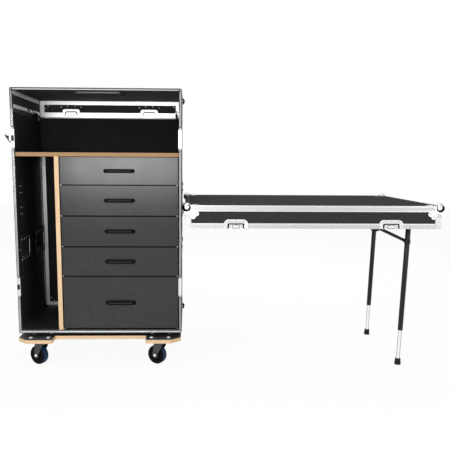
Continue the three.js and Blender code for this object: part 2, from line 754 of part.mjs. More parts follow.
function casterPlaces() {
  const rear = CASE_DEPTH - CASTER_SETBACK;
  return [
    [-CASTER_X, CASTER_SETBACK],
    [CASTER_X, CASTER_SETBACK],
    [-CASTER_X, rear],
    [CASTER_X, rear],
  ];
}

// The board with its four tabs, and the battens that carry the case.
function dollyBoard() {
  const corner = (sx, back) => {
    const y = (out) => (back ? CASE_DEPTH + out : -out);
    return [
      [sx * BOARD_HALF_WIDTH, y(TAB_SHOULDER)],
      [sx * TAB_OUTER, y(TAB_REACH)],
      [sx * TAB_INNER, y(TAB_REACH)],
      [sx * TAB_INNER, y(-BOARD_SETBACK)],
    ];
  };
  const outline = [
    ...corner(-1, false),
    ...corner(1, false).reverse(),
    ...corner(1, true),
    ...corner(-1, true).reverse(),
  ];
  const board = prism(outline, "z", CASTER_HEIGHT, BOARD_TOP);
  const low = BOARD_TOP - OVERRUN;
  const high = Z_BASE_PANEL - FIT;
  const half = BATTEN_HALF_LENGTH;
  const near = BATTEN_SETBACK;
  const far = CASE_DEPTH - BATTEN_SETBACK;
  const battens = join(
    block(-half, half, near, near + BATTEN_WIDTH, low, high),
    block(-half, half, far - BATTEN_WIDTH, far, low, high),
    block(-half, -half + BATTEN_WIDTH, near, far, low, high),
    block(half - BATTEN_WIDTH, half, near, far, low, high),
  );
  const holes = casterPlaces()
    .flatMap(([x, y]) => boltPlaces(x, y))
    .map(([x, y]) =>
      rod(
        [x, y, CASTER_HEIGHT - OVERRUN],
        [x, y, BOARD_TOP + OVERRUN],
        BOLT_DIAMETER + BORE_CLEARANCE,
        PIN_FACETS,
      ),
    );
  return cut(join(board, battens), ...holes);
}

// A caster's top plate with its ball race below and its four bolts through the board.
function casterPlate([x, y]) {
  const top = CASTER_HEIGHT - FIT;
  const low = top - PLATE_THICKNESS;
  const halfX = PLATE_LENGTH / 2;
  const halfY = PLATE_WIDTH / 2;
  const plate = block(x - halfX, x + halfX, y - halfY, y + halfY, low, top);
  const race = rod([x, y, FORK_TOP + FIT], [x, y, top - PLATE_THICKNESS / 2], RACE_DIAMETER, BALL_FACETS);
  const seat = BOARD_TOP + FIT;
  const nutTop = seat + WASHER_THICKNESS + NUT_HEIGHT;
  const bolts = boltPlaces(x, y).map(([bx, by]) =>
    join(
      rod([bx, by, low], [bx, by, nutTop], BOLT_DIAMETER, PIN_FACETS),
      rod([bx, by, seat], [bx, by, seat + WASHER_THICKNESS], WASHER_DIAMETER, PIN_FACETS),
      rod([bx, by, seat], [bx, by, nutTop], NUT_DIAMETER, ROD_FACETS / 2),
    ),
  );
  return join(plate, race, ...bolts);
}

// A fork in its own frame: the pivot is the z axis and the wheel trails along +X.
function casterFork() {
  const half = WHEEL_WIDTH / 2 + (HUB_WIDTH - WHEEL_WIDTH) / 2 + WHEEL_CLEARANCE;
  const outer = half + FORK_SHEET;
  const centre = WHEEL_DIAMETER / 2;
  const top = FORK_TOP_WIDTH / 2;
  const outline = [
    [-top, FORK_TOP],
    [-top, FORK_TOP - CROWN_THICKNESS],
    ...arc(CASTER_TRAIL, centre, FORK_FOOT_RADIUS, 180, 360),
    [top + FORK_TOP_EXTRA, FORK_TOP - CROWN_THICKNESS],
    [top + FORK_TOP_EXTRA, FORK_TOP],
  ];
  const crown = block(-top, top + FORK_TOP_EXTRA, -outer, outer, FORK_TOP - CROWN_THICKNESS, FORK_TOP);
  const end = outer + AXLE_NUT_HEIGHT;
  const axis = [CASTER_TRAIL, centre];
  const axle = rod([axis[0], -end, axis[1]], [axis[0], end, axis[1]], AXLE_DIAMETER);
  const nuts = [-1, 1].map((side) =>
    rod(
      [axis[0], side * (half + FORK_SHEET / 2), axis[1]],
      [axis[0], side * end, axis[1]],
      AXLE_NUT_DIAMETER,
      ROD_FACETS / 2,
    ),
  );
  return join(crown, prism(outline, "y", half, outer), prism(outline, "y", -outer, -half), axle, ...nuts);
}

// A wheel in the fork's frame: a tyre with round shoulders on a dished core.
function casterWheel() {
  const radius = WHEEL_DIAMETER / 2;
  const half = WHEEL_WIDTH / 2;
  const bore = (AXLE_DIAMETER + BORE_CLEARANCE) / 2;
  const hub = HUB_DIAMETER / 2;
  const core = radius - TYRE_THICKNESS;
  const side = [
    [bore, -HUB_WIDTH / 2],
    [hub, -HUB_WIDTH / 2],
    [hub, -half + WHEEL_RECESS],
    [core, -half + WHEEL_RECESS],
    [core, -half],
    ...arc(radius - WHEEL_ROUND, -half + WHEEL_ROUND, WHEEL_ROUND, -90, 0, SHOULDER_STEPS),
  ];
  const mirrored = side.map(([r, w]) => [r, -w]).reverse();
  const profile = [...side, ...mirrored, side[0]].map(([r, w]) => new THREE.Vector2(r, w));
  const geometry = new THREE.LatheGeometry(profile, WHEEL_FACETS);
  geometry.translate(CASTER_TRAIL, 0, 0);
  geometry.applyMatrix4(new THREE.Matrix4().makeTranslation(0, 0, radius));
  return solidOf(geometry);
}

// A pressed dish with a front tongue, recessed into the side behind the front rim.
function latchDish(side, z) {
  const half = LATCH_HEIGHT / 2;
  const back = X_OUT - LATCH_PAN_DEPTH;
  const flangeHalf = LATCH_FLANGE_HEIGHT / 2;
  const outer = X_PANEL + FIT;
  const front = ANGLE_LEG + FIT;
  const pan = cut(
    block(side * back, side * X_OUT, 0, LATCH_DEPTH_Y, z - half - LIP, z + half + LIP),
    block(side * (back + LIP), side * (X_OUT + OVERRUN), LIP, LATCH_DEPTH_Y - LIP, z - half, z + half),
    block(
      side * (X_RIM - FIT),
      side * (X_RIM + LIP + FIT),
      LIP,
      LIP_DEPTH + FIT,
      z - half - OVERRUN,
      z + half + OVERRUN,
    ),
  );
  const flange = cut(
    block(side * outer, side * X_OUT, front, LATCH_FLANGE_REAR, z - flangeHalf, z + flangeHalf),
    block(side * (outer - OVERRUN), side * (X_OUT + OVERRUN), 0, LATCH_DEPTH_Y - LIP, z - half, z + half),
  );
  return join(pan, flange);
}

// A handle folded flat in its dish, on its round cam.
function foldedHandle(side, z) {
  const seat = X_OUT - LATCH_PAN_DEPTH + LIP + FIT;
  const low = seat + CAM_HEIGHT;
  const camEnd = low + HANDLE_THICKNESS / 2;
  const cam = rod([side * seat, LATCH_AXIS_Y, z], [side * camEnd, LATCH_AXIS_Y, z], CAM_DIAMETER);
  const outline = stadium(LATCH_AXIS_Y, z, HANDLE_LENGTH, HANDLE_WIDTH);
  return join(cam, prism(outline, "x", side * low, side * (low + HANDLE_THICKNESS)));
}

// A handle whose wings are folded out of the dish, on its round cam.
function openHandle(side, z) {
  const seat = X_OUT - LATCH_PAN_DEPTH + LIP + FIT;
  const low = seat + CAM_HEIGHT;
  const cam = rod([side * seat, LATCH_AXIS_Y, z], [side * low, LATCH_AXIS_Y, z], CAM_DIAMETER);
  const root = side * (seat + CAM_HEIGHT / 2);
  const tip = side * (X_OUT + WING_REACH);
  const outline = [
    [root, z - WING_HEIGHT / 2],
    [side * X_OUT, z - WING_HEIGHT / 2],
    [tip, z - WING_TIP / 2],
    [tip, z + WING_TIP / 2],
    [side * X_OUT, z + WING_HEIGHT / 2],
    [root, z + WING_HEIGHT / 2],
  ];
  const y = LATCH_AXIS_Y - WING_THICKNESS / 2;
  const wings = prism(outline, "y", y, y + WING_THICKNESS);
  return join(cam, wings);
}

// A bail that hangs in its dish: two pins, two arms and a rod with a thick grip.
function gripBail(side, y) {
  const x = side * (X_OUT - BAIL_INSET);
  const pivot = GRIP_Z + BAIL_RISE;
  const low = pivot - BAIL_ARM;
  const half = BAIL_HALF_WIDTH;
  const pinEnd = GRIP_PAN / 2 - LIP - FIT;
  const grip = BAIL_GRIP_LENGTH / 2;
  return join(
    rod([x, y - pinEnd, pivot], [x, y - half + BAIL_ROD / 2, pivot], BAIL_ROD, PIN_FACETS),
    rod([x, y + pinEnd, pivot], [x, y + half - BAIL_ROD / 2, pivot], BAIL_ROD, PIN_FACETS),
    rod([x, y - half, pivot + BAIL_ROD / 2], [x, y - half, low - BAIL_ROD / 2], BAIL_ROD, PIN_FACETS),
    rod([x, y + half, pivot + BAIL_ROD / 2], [x, y + half, low - BAIL_ROD / 2], BAIL_ROD, PIN_FACETS),
    rod([x, y - half, low], [x, y + half, low], BAIL_ROD, PIN_FACETS),
    rod([x, y - grip, low], [x, y + grip, low], BAIL_GRIP_DIAMETER),
  );
}

// Two bolted plates with a ledge each, joined by a rail across the case's side.
function tableHanger() {
  const inner = X_PANEL + FIT;
  const outer = inner + HANGER_SHEET;
  const plates = [HANGER_Y_NEAR, HANGER_Y_FAR].map((y) => {
    const half = HANGER_WIDTH / 2;
    const edge = outer + LEDGE_REACH;
    const plate = block(inner, outer, y - half, y + half, HANGER_LOW, HANGER_HIGH);
    const ledge = block(inner, edge, y - half, y + half, LEDGE_Z, LEDGE_Z + HANGER_SHEET);
    const lip = block(edge - HANGER_SHEET, edge, y - half, y + half, LEDGE_Z, LIP_TOP);
    const bolts = HANGER_BOLTS.map((rise) => {
      const z = HANGER_LOW + rise;
      const head = outer + HANGER_BOLT_HEIGHT;
      return rod([inner, y, z], [head, y, z], HANGER_BOLT_DIAMETER, PIN_FACETS);
    });
    return join(plate, ledge, lip, ...bolts);
  });
  const mid = (HANGER_LOW + HANGER_HIGH) / 2;
  const rail = block(inner, outer, HANGER_Y_NEAR, HANGER_Y_FAR, mid, mid + HANGER_RAIL_HEIGHT);
  return join(...plates, rail);
}

// Hooks on the table's end that hang over the ledges' lips.
function tableHooks() {
  const hang = X_PANEL + FIT + HANGER_SHEET + HOOK_INSET;
  const low = LIP_TOP + FIT;
  const hooks = [HANGER_Y_NEAR, HANGER_Y_FAR].map((y) => {
    const half = HOOK_WIDTH / 2;
    return join(
      block(hang, TABLE_LEFT + SHEET / 2, y - half, y + half, low, low + HOOK_SHEET),
      block(hang, hang + HOOK_SHEET, y - half, y + half, low - HOOK_DROP, low + HOOK_SHEET),
      block(
        TABLE_LEFT - HOOK_SHEET,
        TABLE_LEFT + SHEET / 2,
        y - half,
        y + half,
        HOOK_PLATE_LOW,
        low + HOOK_SHEET,
      ),
    );
  });
  return join(...hooks);
}

// Side, rear and top panels of the lid, the blank dish in its top and the pads behind its hinges.
function lidShell() {
  const low = Z_LID_LOW + SHEET + FIT;
  const outer = block(-X_PANEL, X_PANEL, Y_FRONT_PANEL, Y_PANEL, low, Z_LID_PANEL);
  const inner = block(-X_IN, X_IN, -OVERRUN, Y_IN, low - OVERRUN, Z_CEILING);
  const half = TOP_DISH_LENGTH / 2;
  const front = TOP_DISH_FRONT;
  const rear = TOP_DISH_FRONT + TOP_DISH_WIDTH;
  const bottom = Z_TOP - TOP_DISH_DEPTH;
  const dish = join(
    block(-half, half, front, rear, bottom, Z_TOP),
    block(-half - TOP_FLANGE, half + TOP_FLANGE, front - TOP_FLANGE, rear + TOP_FLANGE, Z_LID_PANEL, Z_TOP),
  );
  const space = block(
    -half + LIP,
    half - LIP,
    front + LIP,
    rear - LIP,
    bottom + LIP,
    Z_TOP + OVERRUN,
  );
  const pads = [-HINGE_X, HINGE_X].map((x) => {
    const reach = HINGE_LENGTH / 2;
    const start = Z_LID_LOW + LIP_DEPTH + FIT;
    const end = start + HINGE_LEAF_HEIGHT - LIP_DEPTH;
    return block(x - reach, x + reach, Y_IN - HINGE_PAD, Y_IN + WALL / 2, start, end);
  });
  return cut(join(cut(outer, inner), dish, ...pads), space);
}

// A strut stud: a plate on a wall, from the closing rim to past the pin, and a pin inward from it.
function strutStud(side, y, z, rim, pinEnd) {
  const wall = X_IN - FIT;
  const half = STUD_PLATE / 2;
  const far = z + Math.sign(z - rim) * half;
  const plate = block(side * (wall - STUD_SHEET), side * wall, y - half, y + half, rim, far);
  const pin = rod([side * (wall - STUD_SHEET / 2), y, z], [side * pinEnd, y, z], STUD_DIAMETER, PIN_FACETS);
  return join(plate, pin);
}

// The lid's closing rims and edge angles: a thin skin with a window in each face and its inner lips.
function lidTrim() {
  const leg = X_OUT - ANGLE_LEG;
  const rear = CASE_DEPTH - ANGLE_LEG;
  const rimTop = Z_TOP - RIM_FACE;
  const lipRear = CASE_DEPTH - RIM_FACE;
  const beyond = X_OUT + OVERRUN;
  const skin = cut(
    block(-X_OUT, X_OUT, 0, CASE_DEPTH, Z_LID_LOW, Z_TOP),
    block(-X_PANEL, X_PANEL, SHEET, Y_PANEL, Z_LID_LOW + SHEET, Z_LID_PANEL),
    block(-X_RIM, X_RIM, -OVERRUN, lipRear, Z_LID_LOW - OVERRUN, rimTop),
    block(-beyond, beyond, ANGLE_LEG, rear, Z_LID_LOW + ANGLE_LEG, Z_TOP - ANGLE_LEG),
    block(-leg, leg, rear, CASE_DEPTH + OVERRUN, Z_LID_LOW + ANGLE_LEG, Z_TOP - ANGLE_LEG),
    block(-leg, leg, ANGLE_LEG, rear, Z_LID_PANEL - OVERRUN, Z_TOP + OVERRUN),
  );
  const lipLow = Z_LID_LOW + SHEET / 2;
  const lips = [block(-X_RIM, X_RIM, lipRear, lipRear + LIP, lipLow, Z_LID_LOW + LIP_DEPTH)];
  lips.push(block(-X_RIM, X_RIM, SHEET / 2, LIP_DEPTH, rimTop, rimTop + LIP));
  for (const side of [-1, 1]) {
    const inner = side * X_RIM;
    const outer = side * (X_RIM + LIP);
    lips.push(block(inner, outer, SHEET / 2, lipRear + LIP, lipLow, Z_LID_LOW + LIP_DEPTH));
    lips.push(block(inner, outer, SHEET / 2, LIP_DEPTH, lipLow, rimTop + LIP));
  }
  return join(
    skin,
    ...lips,
    lidStud(-1),
    lidStud(1),
    rearBalls(Z_TOP, -1),
    hingeHalf(-HINGE_X, 1),
    hingeHalf(HINGE_X, 1),
  );
}

// A point on a strut, by its distance from the body stud towards the lid stud.
function strutPoint(side, distance) {
  const along = STRUT_LID.clone().sub(STRUT_BODY).normalize();
  const place = STRUT_BODY.clone().add(along.multiplyScalar(distance));
  return [side * STRUT_X, place.x, place.y];
}

function strutEye(side, place) {
  const half = STRUT_EYE_WIDTH / 2;
  const x = STRUT_X;
  const inner = [side * (x - half), place.x, place.y];
  return rod(inner, [side * (x + half), place.x, place.y], STRUT_EYE_DIAMETER);
}

function strutCylinder(side) {
  const start = STRUT_EYE_DIAMETER;
  const end = start + STRUT_CYLINDER_LENGTH;
  const barrel = rod(strutPoint(side, start), strutPoint(side, end), STRUT_CYLINDER_DIAMETER);
  const bore = rod(
    strutPoint(side, end - STRUT_ROD_OVERLAP - OVERRUN),
    strutPoint(side, end + OVERRUN),
    STRUT_ROD_DIAMETER + BORE_CLEARANCE,
    PIN_FACETS,
  );
  const neck = rod(strutPoint(side, 0), strutPoint(side, start + OVERRUN), STRUT_ROD_DIAMETER, PIN_FACETS);
  const pin = rod(
    [side * (STRUT_X - STRUT_EYE_WIDTH), STRUT_BODY.x, STRUT_BODY.y],
    [side * (STRUT_X + STRUT_EYE_WIDTH), STRUT_BODY.x, STRUT_BODY.y],
    STUD_DIAMETER + BORE_CLEARANCE,
    PIN_FACETS,
  );
  return cut(join(cut(barrel, bore), neck, strutEye(side, STRUT_BODY)), pin);
}

function strutRod(side) {
  const length = STRUT_LID.distanceTo(STRUT_BODY);
  const start = STRUT_EYE_DIAMETER + STRUT_CYLINDER_LENGTH - STRUT_ROD_OVERLAP;
  const bar = rod(strutPoint(side, start), strutPoint(side, length), STRUT_ROD_DIAMETER, PIN_FACETS);
  return join(bar, strutEye(side, STRUT_LID));
}

// A body stud passes through the eye of its strut's cylinder.
function bodyStud(side) {
  const end = STRUT_X - STRUT_EYE_WIDTH / 2;
  return strutStud(side, STRUT_BODY.x, STRUT_BODY.y, Z_BODY_TOP, end);
}

// A lid stud ends beside the eye of its strut's rod.
function lidStud(side) {
  const end = STRUT_X + STRUT_EYE_WIDTH / 2 + FIT;
  return strutStud(side, STRUT_LID.x, STRUT_LID.y, Z_LID_LOW, end);
}

// Places along a leg: the height gives the place on its leaning axis.
function legPoint(y, z) {
  const lean = (LEG_LEAN * (LEG_PIVOT_Z - z)) / LEG_PIVOT_Z;
  return [LEG_PIVOT_X - lean, y, z];
}

// The tray of the table: top and four walls, with the legs' bearings and the braces' stops below the top.
function tablePanel() {
  const low = TABLE_LOW + SHEET + FIT;
  const tray = cut(
    block(
      TABLE_LEFT + SHEET,
      TABLE_RIGHT - SHEET,
      TABLE_FRONT + SHEET,
      TABLE_REAR - SHEET,
      low,
      TABLE_TOP - SHEET,
    ),
    block(
      TABLE_LEFT + SHEET + WALL,
      TABLE_RIGHT - SHEET - WALL,
      TABLE_FRONT + SHEET + WALL,
      TABLE_REAR - SHEET - WALL,
      low - OVERRUN,
      TABLE_UNDERSIDE,
    ),
  );
  const inset = ANGLE_LEG + FIT;
  const field = block(
    TABLE_LEFT + inset,
    TABLE_RIGHT - inset,
    TABLE_FRONT + inset,
    TABLE_REAR - inset,
    TABLE_TOP - OVERRUN,
    TABLE_TOP,
  );
  const lowest = LEG_PIVOT_Z - PIVOT_TUBE_DIAMETER / 2 - OVERRUN;
  const inward = [BEARING_FROM_LEG, -BEARING_FROM_LEG];
  const bearings = LEG_YS.map((y, i) => {
    const middle = y + inward[i];
    return block(
      LEG_PIVOT_X - BEARING_LENGTH / 2,
      LEG_PIVOT_X + BEARING_LENGTH / 2,
      middle - BEARING_WIDTH / 2,
      middle + BEARING_WIDTH / 2,
      lowest,
      TABLE_UNDERSIDE + WALL / 2,
    );
  });
  const bore = rod(
    [LEG_PIVOT_X, LEG_YS[0], LEG_PIVOT_Z],
    [LEG_PIVOT_X, LEG_YS[1], LEG_PIVOT_Z],
    PIVOT_TUBE_DIAMETER + BORE_CLEARANCE,
  );
  const stopFace = BRACE_TOP_X + CROSS_ROD_DIAMETER / 2 + FIT;
  const stops = LEG_YS.map((y, i) => {
    const middle = y + Math.sign(inward[i]) * (BRACE_OFFSET + STOP_FROM_BRACE);
    return block(
      stopFace,
      stopFace + STOP_THICKNESS,
      middle - STOP_WIDTH / 2,
      middle + STOP_WIDTH / 2,
      TABLE_UNDERSIDE - STOP_HEIGHT,
      TABLE_UNDERSIDE + WALL / 2,
    );
  });
  return cut(join(tray, field, ...bearings, ...stops), bore);
}

function tableTrim() {
  const legTop = TABLE_TOP - ANGLE_LEG;
  const pieces = [
    tableRing(0, ANGLE_LEG, TABLE_TOP - SHEET, TABLE_TOP),
    tableRing(0, SHEET, legTop, TABLE_TOP),
    tableRing(0, RIM_FACE, TABLE_LOW, TABLE_LOW + SHEET),
    tableRing(0, SHEET, TABLE_LOW, TABLE_LOW + TABLE_RIM_LEG),
    tableRing(RIM_FACE - LIP, RIM_FACE, TABLE_LOW, TABLE_LOW + LIP_DEPTH),
  ];
  const hollow = block(
    TABLE_LEFT + SHEET - FIT,
    TABLE_RIGHT - SHEET + FIT,
    TABLE_FRONT + SHEET - FIT,
    TABLE_REAR - SHEET + FIT,
    TABLE_LOW,
    TABLE_TOP - SHEET + FIT,
  );
  for (const [x, sx] of [[TABLE_LEFT, 1], [TABLE_RIGHT, -1]]) {
    for (const [y, sy] of [[TABLE_FRONT, 1], [TABLE_REAR, -1]]) {
      pieces.push(block(x, x + sx * ANGLE_LEG, y, y + sy * SHEET, TABLE_LOW, TABLE_TOP));
      pieces.push(block(x, x + sx * SHEET, y, y + sy * ANGLE_LEG, TABLE_LOW, TABLE_TOP));
      pieces.push(cut(ball(x + sx * BALL_INSET, y + sy * BALL_INSET, TABLE_TOP - BALL_INSET), hollow));
    }
  }
  for (const x of [TABLE_LEFT + LATCH_FROM_END, TABLE_RIGHT - LATCH_FROM_END]) {
    const half = KEEPER_LENGTH / 2;
    const high = TABLE_LOW + KEEPER_HEIGHT;
    const front = TABLE_FRONT - KEEPER_THICKNESS;
    const rear = TABLE_REAR + KEEPER_THICKNESS;
    const round = half - KEEPER_ROUND;
    const shoulder = high - KEEPER_ROUND;
    const outline = [
      [x - half, TABLE_LOW],
      [x + half, TABLE_LOW],
      ...arc(x + round, shoulder, KEEPER_ROUND, 0, 90),
      ...arc(x - round, shoulder, KEEPER_ROUND, 90, 180),
    ];
    pieces.push(prism(outline, "y", front, TABLE_FRONT + SHEET / 2));
    pieces.push(prism(outline, "y", TABLE_REAR - SHEET / 2, rear));
  }
  return join(...pieces, endGrip(), tableHooks());
}

// The low grip on the table's free end: a plate across the trim and a half-round bar.
function endGrip() {
  const middle = (TABLE_LOW + TABLE_TOP) / 2;
  const half = END_PLATE_HEIGHT / 2;
  const plate = block(
    TABLE_RIGHT - SHEET / 2,
    TABLE_RIGHT + KEEPER_THICKNESS,
    TABLE_MIDDLE - END_PLATE_LENGTH / 2,
    TABLE_MIDDLE + END_PLATE_LENGTH / 2,
    middle - half,
    middle + half,
  );
  const bar = rod(
    [TABLE_RIGHT, TABLE_MIDDLE - END_GRIP_LENGTH / 2, middle],
    [TABLE_RIGHT, TABLE_MIDDLE + END_GRIP_LENGTH / 2, middle],
    END_GRIP_DIAMETER,
  );
  const inside = block(
    TABLE_RIGHT - END_GRIP_DIAMETER,
    TABLE_RIGHT - SHEET / 2,
    TABLE_MIDDLE - END_GRIP_LENGTH,
    TABLE_MIDDLE + END_GRIP_LENGTH,
    TABLE_LOW,
    TABLE_TOP,
  );
  return join(plate, cut(bar, inside));
}

// Both upper tubes, the tube that turns in the bearings, and the clamps with the braces' pins.
function legFrame() {
  const pieces = [
    rod(
      [LEG_PIVOT_X, LEG_YS[0], LEG_PIVOT_Z],
      [LEG_PIVOT_X, LEG_YS[1], LEG_PIVOT_Z],
      PIVOT_TUBE_DIAMETER,
    ),
  ];
  LEG_YS.forEach((y, i) => {
    const inward = i === 0 ? 1 : -1;
    const top = LEG_PIVOT_Z + PIVOT_TUBE_DIAMETER / 2 + FIT;
    const tube = rod(legPoint(y, top), legPoint(y, LEG_UPPER_END), LEG_DIAMETER, BALL_FACETS);
    const mouth = legPoint(y, LEG_UPPER_END - OVERRUN);
    const bore = rod(legPoint(y, LEG_UPPER_END + LEG_BORE_DEPTH), mouth, LEG_BORE);
    const clamp = rod(
      legPoint(y, CLAMP_Z + CLAMP_HEIGHT / 2),
      legPoint(y, CLAMP_Z - CLAMP_HEIGHT / 2),
      CLAMP_DIAMETER,
      BALL_FACETS,
    );
    const end = y + inward * (BRACE_OFFSET + BRACE_DIAMETER / 2 + PLATE_THICKNESS);
    const pinStart = y + inward * (LEG_BORE / 2 + BORE_CLEARANCE);
    const [x] = legPoint(y, CLAMP_Z);
    const pin = rod([x, pinStart, CLAMP_Z], [x, end, CLAMP_Z], BRACE_PIN, PIN_FACETS);
    pieces.push(cut(join(tube, clamp), bore), pin);
  });
  return join(...pieces);
}

// The chromed tube that slides in an upper tube, with its rubber foot cut flat on the floor.
function legLower(y) {
  const head = legPoint(y, LEG_UPPER_END + LOWER_OVERLAP);
  const tube = rod(head, legPoint(y, FOOT_HEIGHT / 2), LOWER_DIAMETER);
  const foot = rod(legPoint(y, FOOT_HEIGHT), legPoint(y, -OVERRUN), FOOT_DIAMETER, BALL_FACETS);
  const floor = block(
    LEG_PIVOT_X - LEG_LEAN - FOOT_DIAMETER,
    LEG_PIVOT_X - LEG_LEAN + FOOT_DIAMETER,
    y - FOOT_DIAMETER,
    y + FOOT_DIAMETER,
    -FOOT_DIAMETER,
    0,
  );
  return cut(join(tube, foot), floor);
}

// Both braces, from eyes beside the clamps to the rod that lies below the table top.
function braceFrame() {
  const top = TABLE_UNDERSIDE - LEG_PIVOT_DROP;
  const braceYs = [LEG_YS[0] + BRACE_OFFSET, LEG_YS[1] - BRACE_OFFSET];
  const half = BRACE_DIAMETER / 2;
  const pieces = [
    rod([BRACE_TOP_X, braceYs[0] - half, top], [BRACE_TOP_X, braceYs[1] + half, top], CROSS_ROD_DIAMETER),
  ];
  const pins = [];
  for (const y of braceYs) {
    const [x] = legPoint(y, CLAMP_Z);
    const eyeHalf = half - FIT;
    pieces.push(rod([x, y, CLAMP_Z], [BRACE_TOP_X, y, top], BRACE_DIAMETER));
    pieces.push(rod([x, y - eyeHalf, CLAMP_Z], [x, y + eyeHalf, CLAMP_Z], BRACE_EYE_DIAMETER));
    const reach = BRACE_DIAMETER;
    pins.push(rod([x, y - reach, CLAMP_Z], [x, y + reach, CLAMP_Z], BRACE_PIN + BORE_CLEARANCE, PIN_FACETS));
  }
  return cut(join(...pieces), ...pins);
}

function buildCase(group) {
  addPiece(group, "left_side_panel", sidePanel(-1), "laminate");
  addPiece(group, "right_side_panel", sidePanel(1), "laminate");
  addPiece(group, "base_panel", basePanel(), "laminate");
  addPiece(group, "rear_panel", rearPanel(), "laminate");
  addPiece(group, "body_rim", bodyRim(), "aluminium");
  addPiece(group, "body_edge_trim", bodyEdgeTrim(), "aluminium");
  addPiece(group, "inner_corner_trim", innerCornerTrim(), "aluminium");
  addPiece(group, "work_shelf", workShelf(), "laminate");
  addPiece(group, "drawer_divider", drawerDivider(), "laminate");
  addPiece(group, "upper_back_board", upperBackBoard(), "laminate");
  addPiece(group, "left_runner_set", runnerSet(-1), "zinc");
  addPiece(group, "right_runner_set", runnerSet(1), "zinc");
  addPiece(group, "dolly_board", dollyBoard(), "laminate");
  addPiece(group, "table_hanger", tableHanger(), "blackSteel");
}

function buildDrawers(group) {
  drawerLimits().forEach((limits, i) => {
    addPiece(group, `drawer_${i + 1}_box`, drawerBox(limits), "plywood");
    addPiece(group, `drawer_${i + 1}_front`, drawerFront(limits), "drawerFront");
  });
}

function buildCasters(group) {
  casterPlaces().forEach((place, i) => {
    addPiece(group, `caster_${i + 1}_plate`, casterPlate(place), "zinc");
    const swivel = new THREE.Group();
    swivel.position.set(...place, 0);
    swivel.rotation.z = THREE.MathUtils.degToRad(CASTER_TURN);
    addPiece(swivel, `caster_${i + 1}_fork`, casterFork(), "zinc");
    addPiece(swivel, `caster_${i + 1}_wheel`, casterWheel(), "blueTyre");
    group.add(swivel);
  });
}

function buildSideFittings(group) {
  let number = 0;
  for (const side of [-1, 1]) {
    for (const z of LATCH_HEIGHTS) {
      number += 1;
      const handle = number === 1 ? openHandle(side, z) : foldedHandle(side, z);
      addPiece(group, `latch_${number}_dish`, latchDish(side, z), "zinc");
      addPiece(group, `latch_${number}_handle`, handle, "blackSteel");
    }
  }
  number = 0;
  for (const side of [-1, 1]) {
    for (const y of [GRIP_FRONT, GRIP_REAR]) {
      number += 1;
      addPiece(group, `grip_${number}_bail`, gripBail(side, y), "blackSteel");
    }
  }
}

function buildLid(group) {
  addPiece(group, "lid_shell", lidShell(), "laminate");
  addPiece(group, "lid_trim", lidTrim(), "aluminium");
  [-1, 1].forEach((side, i) => {
    addPiece(group, `strut_${i + 1}_cylinder`, strutCylinder(side), "blackSteel");
    addPiece(group, `strut_${i + 1}_rod`, strutRod(side), "chrome");
  });
}

function buildTable(group) {
  addPiece(group, "table_panel", tablePanel(), "laminate");
  addPiece(group, "table_trim", tableTrim(), "aluminium");
  addPiece(group, "leg_frame", legFrame(), "blackSteel");
  addPiece(group, "leg_1_lower", legLower(LEG_YS[0]), "chrome");
  addPiece(group, "leg_2_lower", legLower(LEG_YS[1]), "chrome");
  addPiece(group, "brace_frame", braceFrame(), "blackSteel");
}

// The whole, moved so that the origin lies on the floor below the middle of its bounding box.
const xMin = -X_OUT - WING_REACH;
const xMax = TABLE_RIGHT + BALL_OUT;
const yMin = TABLE_FRONT - BALL_OUT;
const yMax = TABLE_REAR + BALL_OUT;
const roadCase = new THREE.Group();
roadCase.position.set(-(xMin + xMax) / 2, -(yMin + yMax) / 2, 0);
buildCase(roadCase);
buildDrawers(roadCase);
buildCasters(roadCase);
buildSideFittings(roadCase);
buildLid(roadCase);
buildTable(roadCase);
const assembly = new THREE.Group();
assembly.add(roadCase);

export default assembly;
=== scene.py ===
"""Looks of a road case with drawers: case, lid, five drawers, casters and a table hung on its side.

Lengths inside the shape functions are millimetres in the case's own frame: x = 0 on its centre line,
y = 0 on its open front, z = 0 on the floor. The last step of each piece turns them into metres in the
row frame.
"""

import math

import bpy
import numpy as np
from mathutils import Matrix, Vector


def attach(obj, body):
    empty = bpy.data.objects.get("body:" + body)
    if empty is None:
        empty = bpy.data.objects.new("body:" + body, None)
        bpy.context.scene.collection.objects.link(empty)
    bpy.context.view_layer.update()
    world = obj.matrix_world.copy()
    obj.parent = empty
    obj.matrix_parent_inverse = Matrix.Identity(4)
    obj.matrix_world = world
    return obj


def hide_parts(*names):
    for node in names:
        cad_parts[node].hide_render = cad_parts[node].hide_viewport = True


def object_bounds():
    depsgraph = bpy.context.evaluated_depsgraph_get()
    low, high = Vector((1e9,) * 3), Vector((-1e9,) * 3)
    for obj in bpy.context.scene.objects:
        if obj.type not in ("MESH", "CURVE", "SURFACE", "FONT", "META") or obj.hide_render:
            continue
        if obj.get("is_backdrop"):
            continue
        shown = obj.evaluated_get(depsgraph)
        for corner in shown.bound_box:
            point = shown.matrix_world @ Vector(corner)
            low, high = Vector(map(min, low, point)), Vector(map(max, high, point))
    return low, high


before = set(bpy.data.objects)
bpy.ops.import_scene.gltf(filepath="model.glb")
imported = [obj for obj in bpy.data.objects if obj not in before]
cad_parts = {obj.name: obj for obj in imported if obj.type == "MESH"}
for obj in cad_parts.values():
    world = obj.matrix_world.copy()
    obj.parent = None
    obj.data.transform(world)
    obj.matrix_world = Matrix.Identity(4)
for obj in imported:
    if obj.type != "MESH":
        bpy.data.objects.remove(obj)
CAD_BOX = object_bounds()

bl_info = {
    "name": "Road case with drawers",
    "version": (1, 0, 0),
    "blender": (4, 5, 0),
    "location": "View3D > Sidebar > Road case",
    "description": "Builds the visible pieces of a road case with drawers around its packed model",
    "category": "Add Mesh",
}

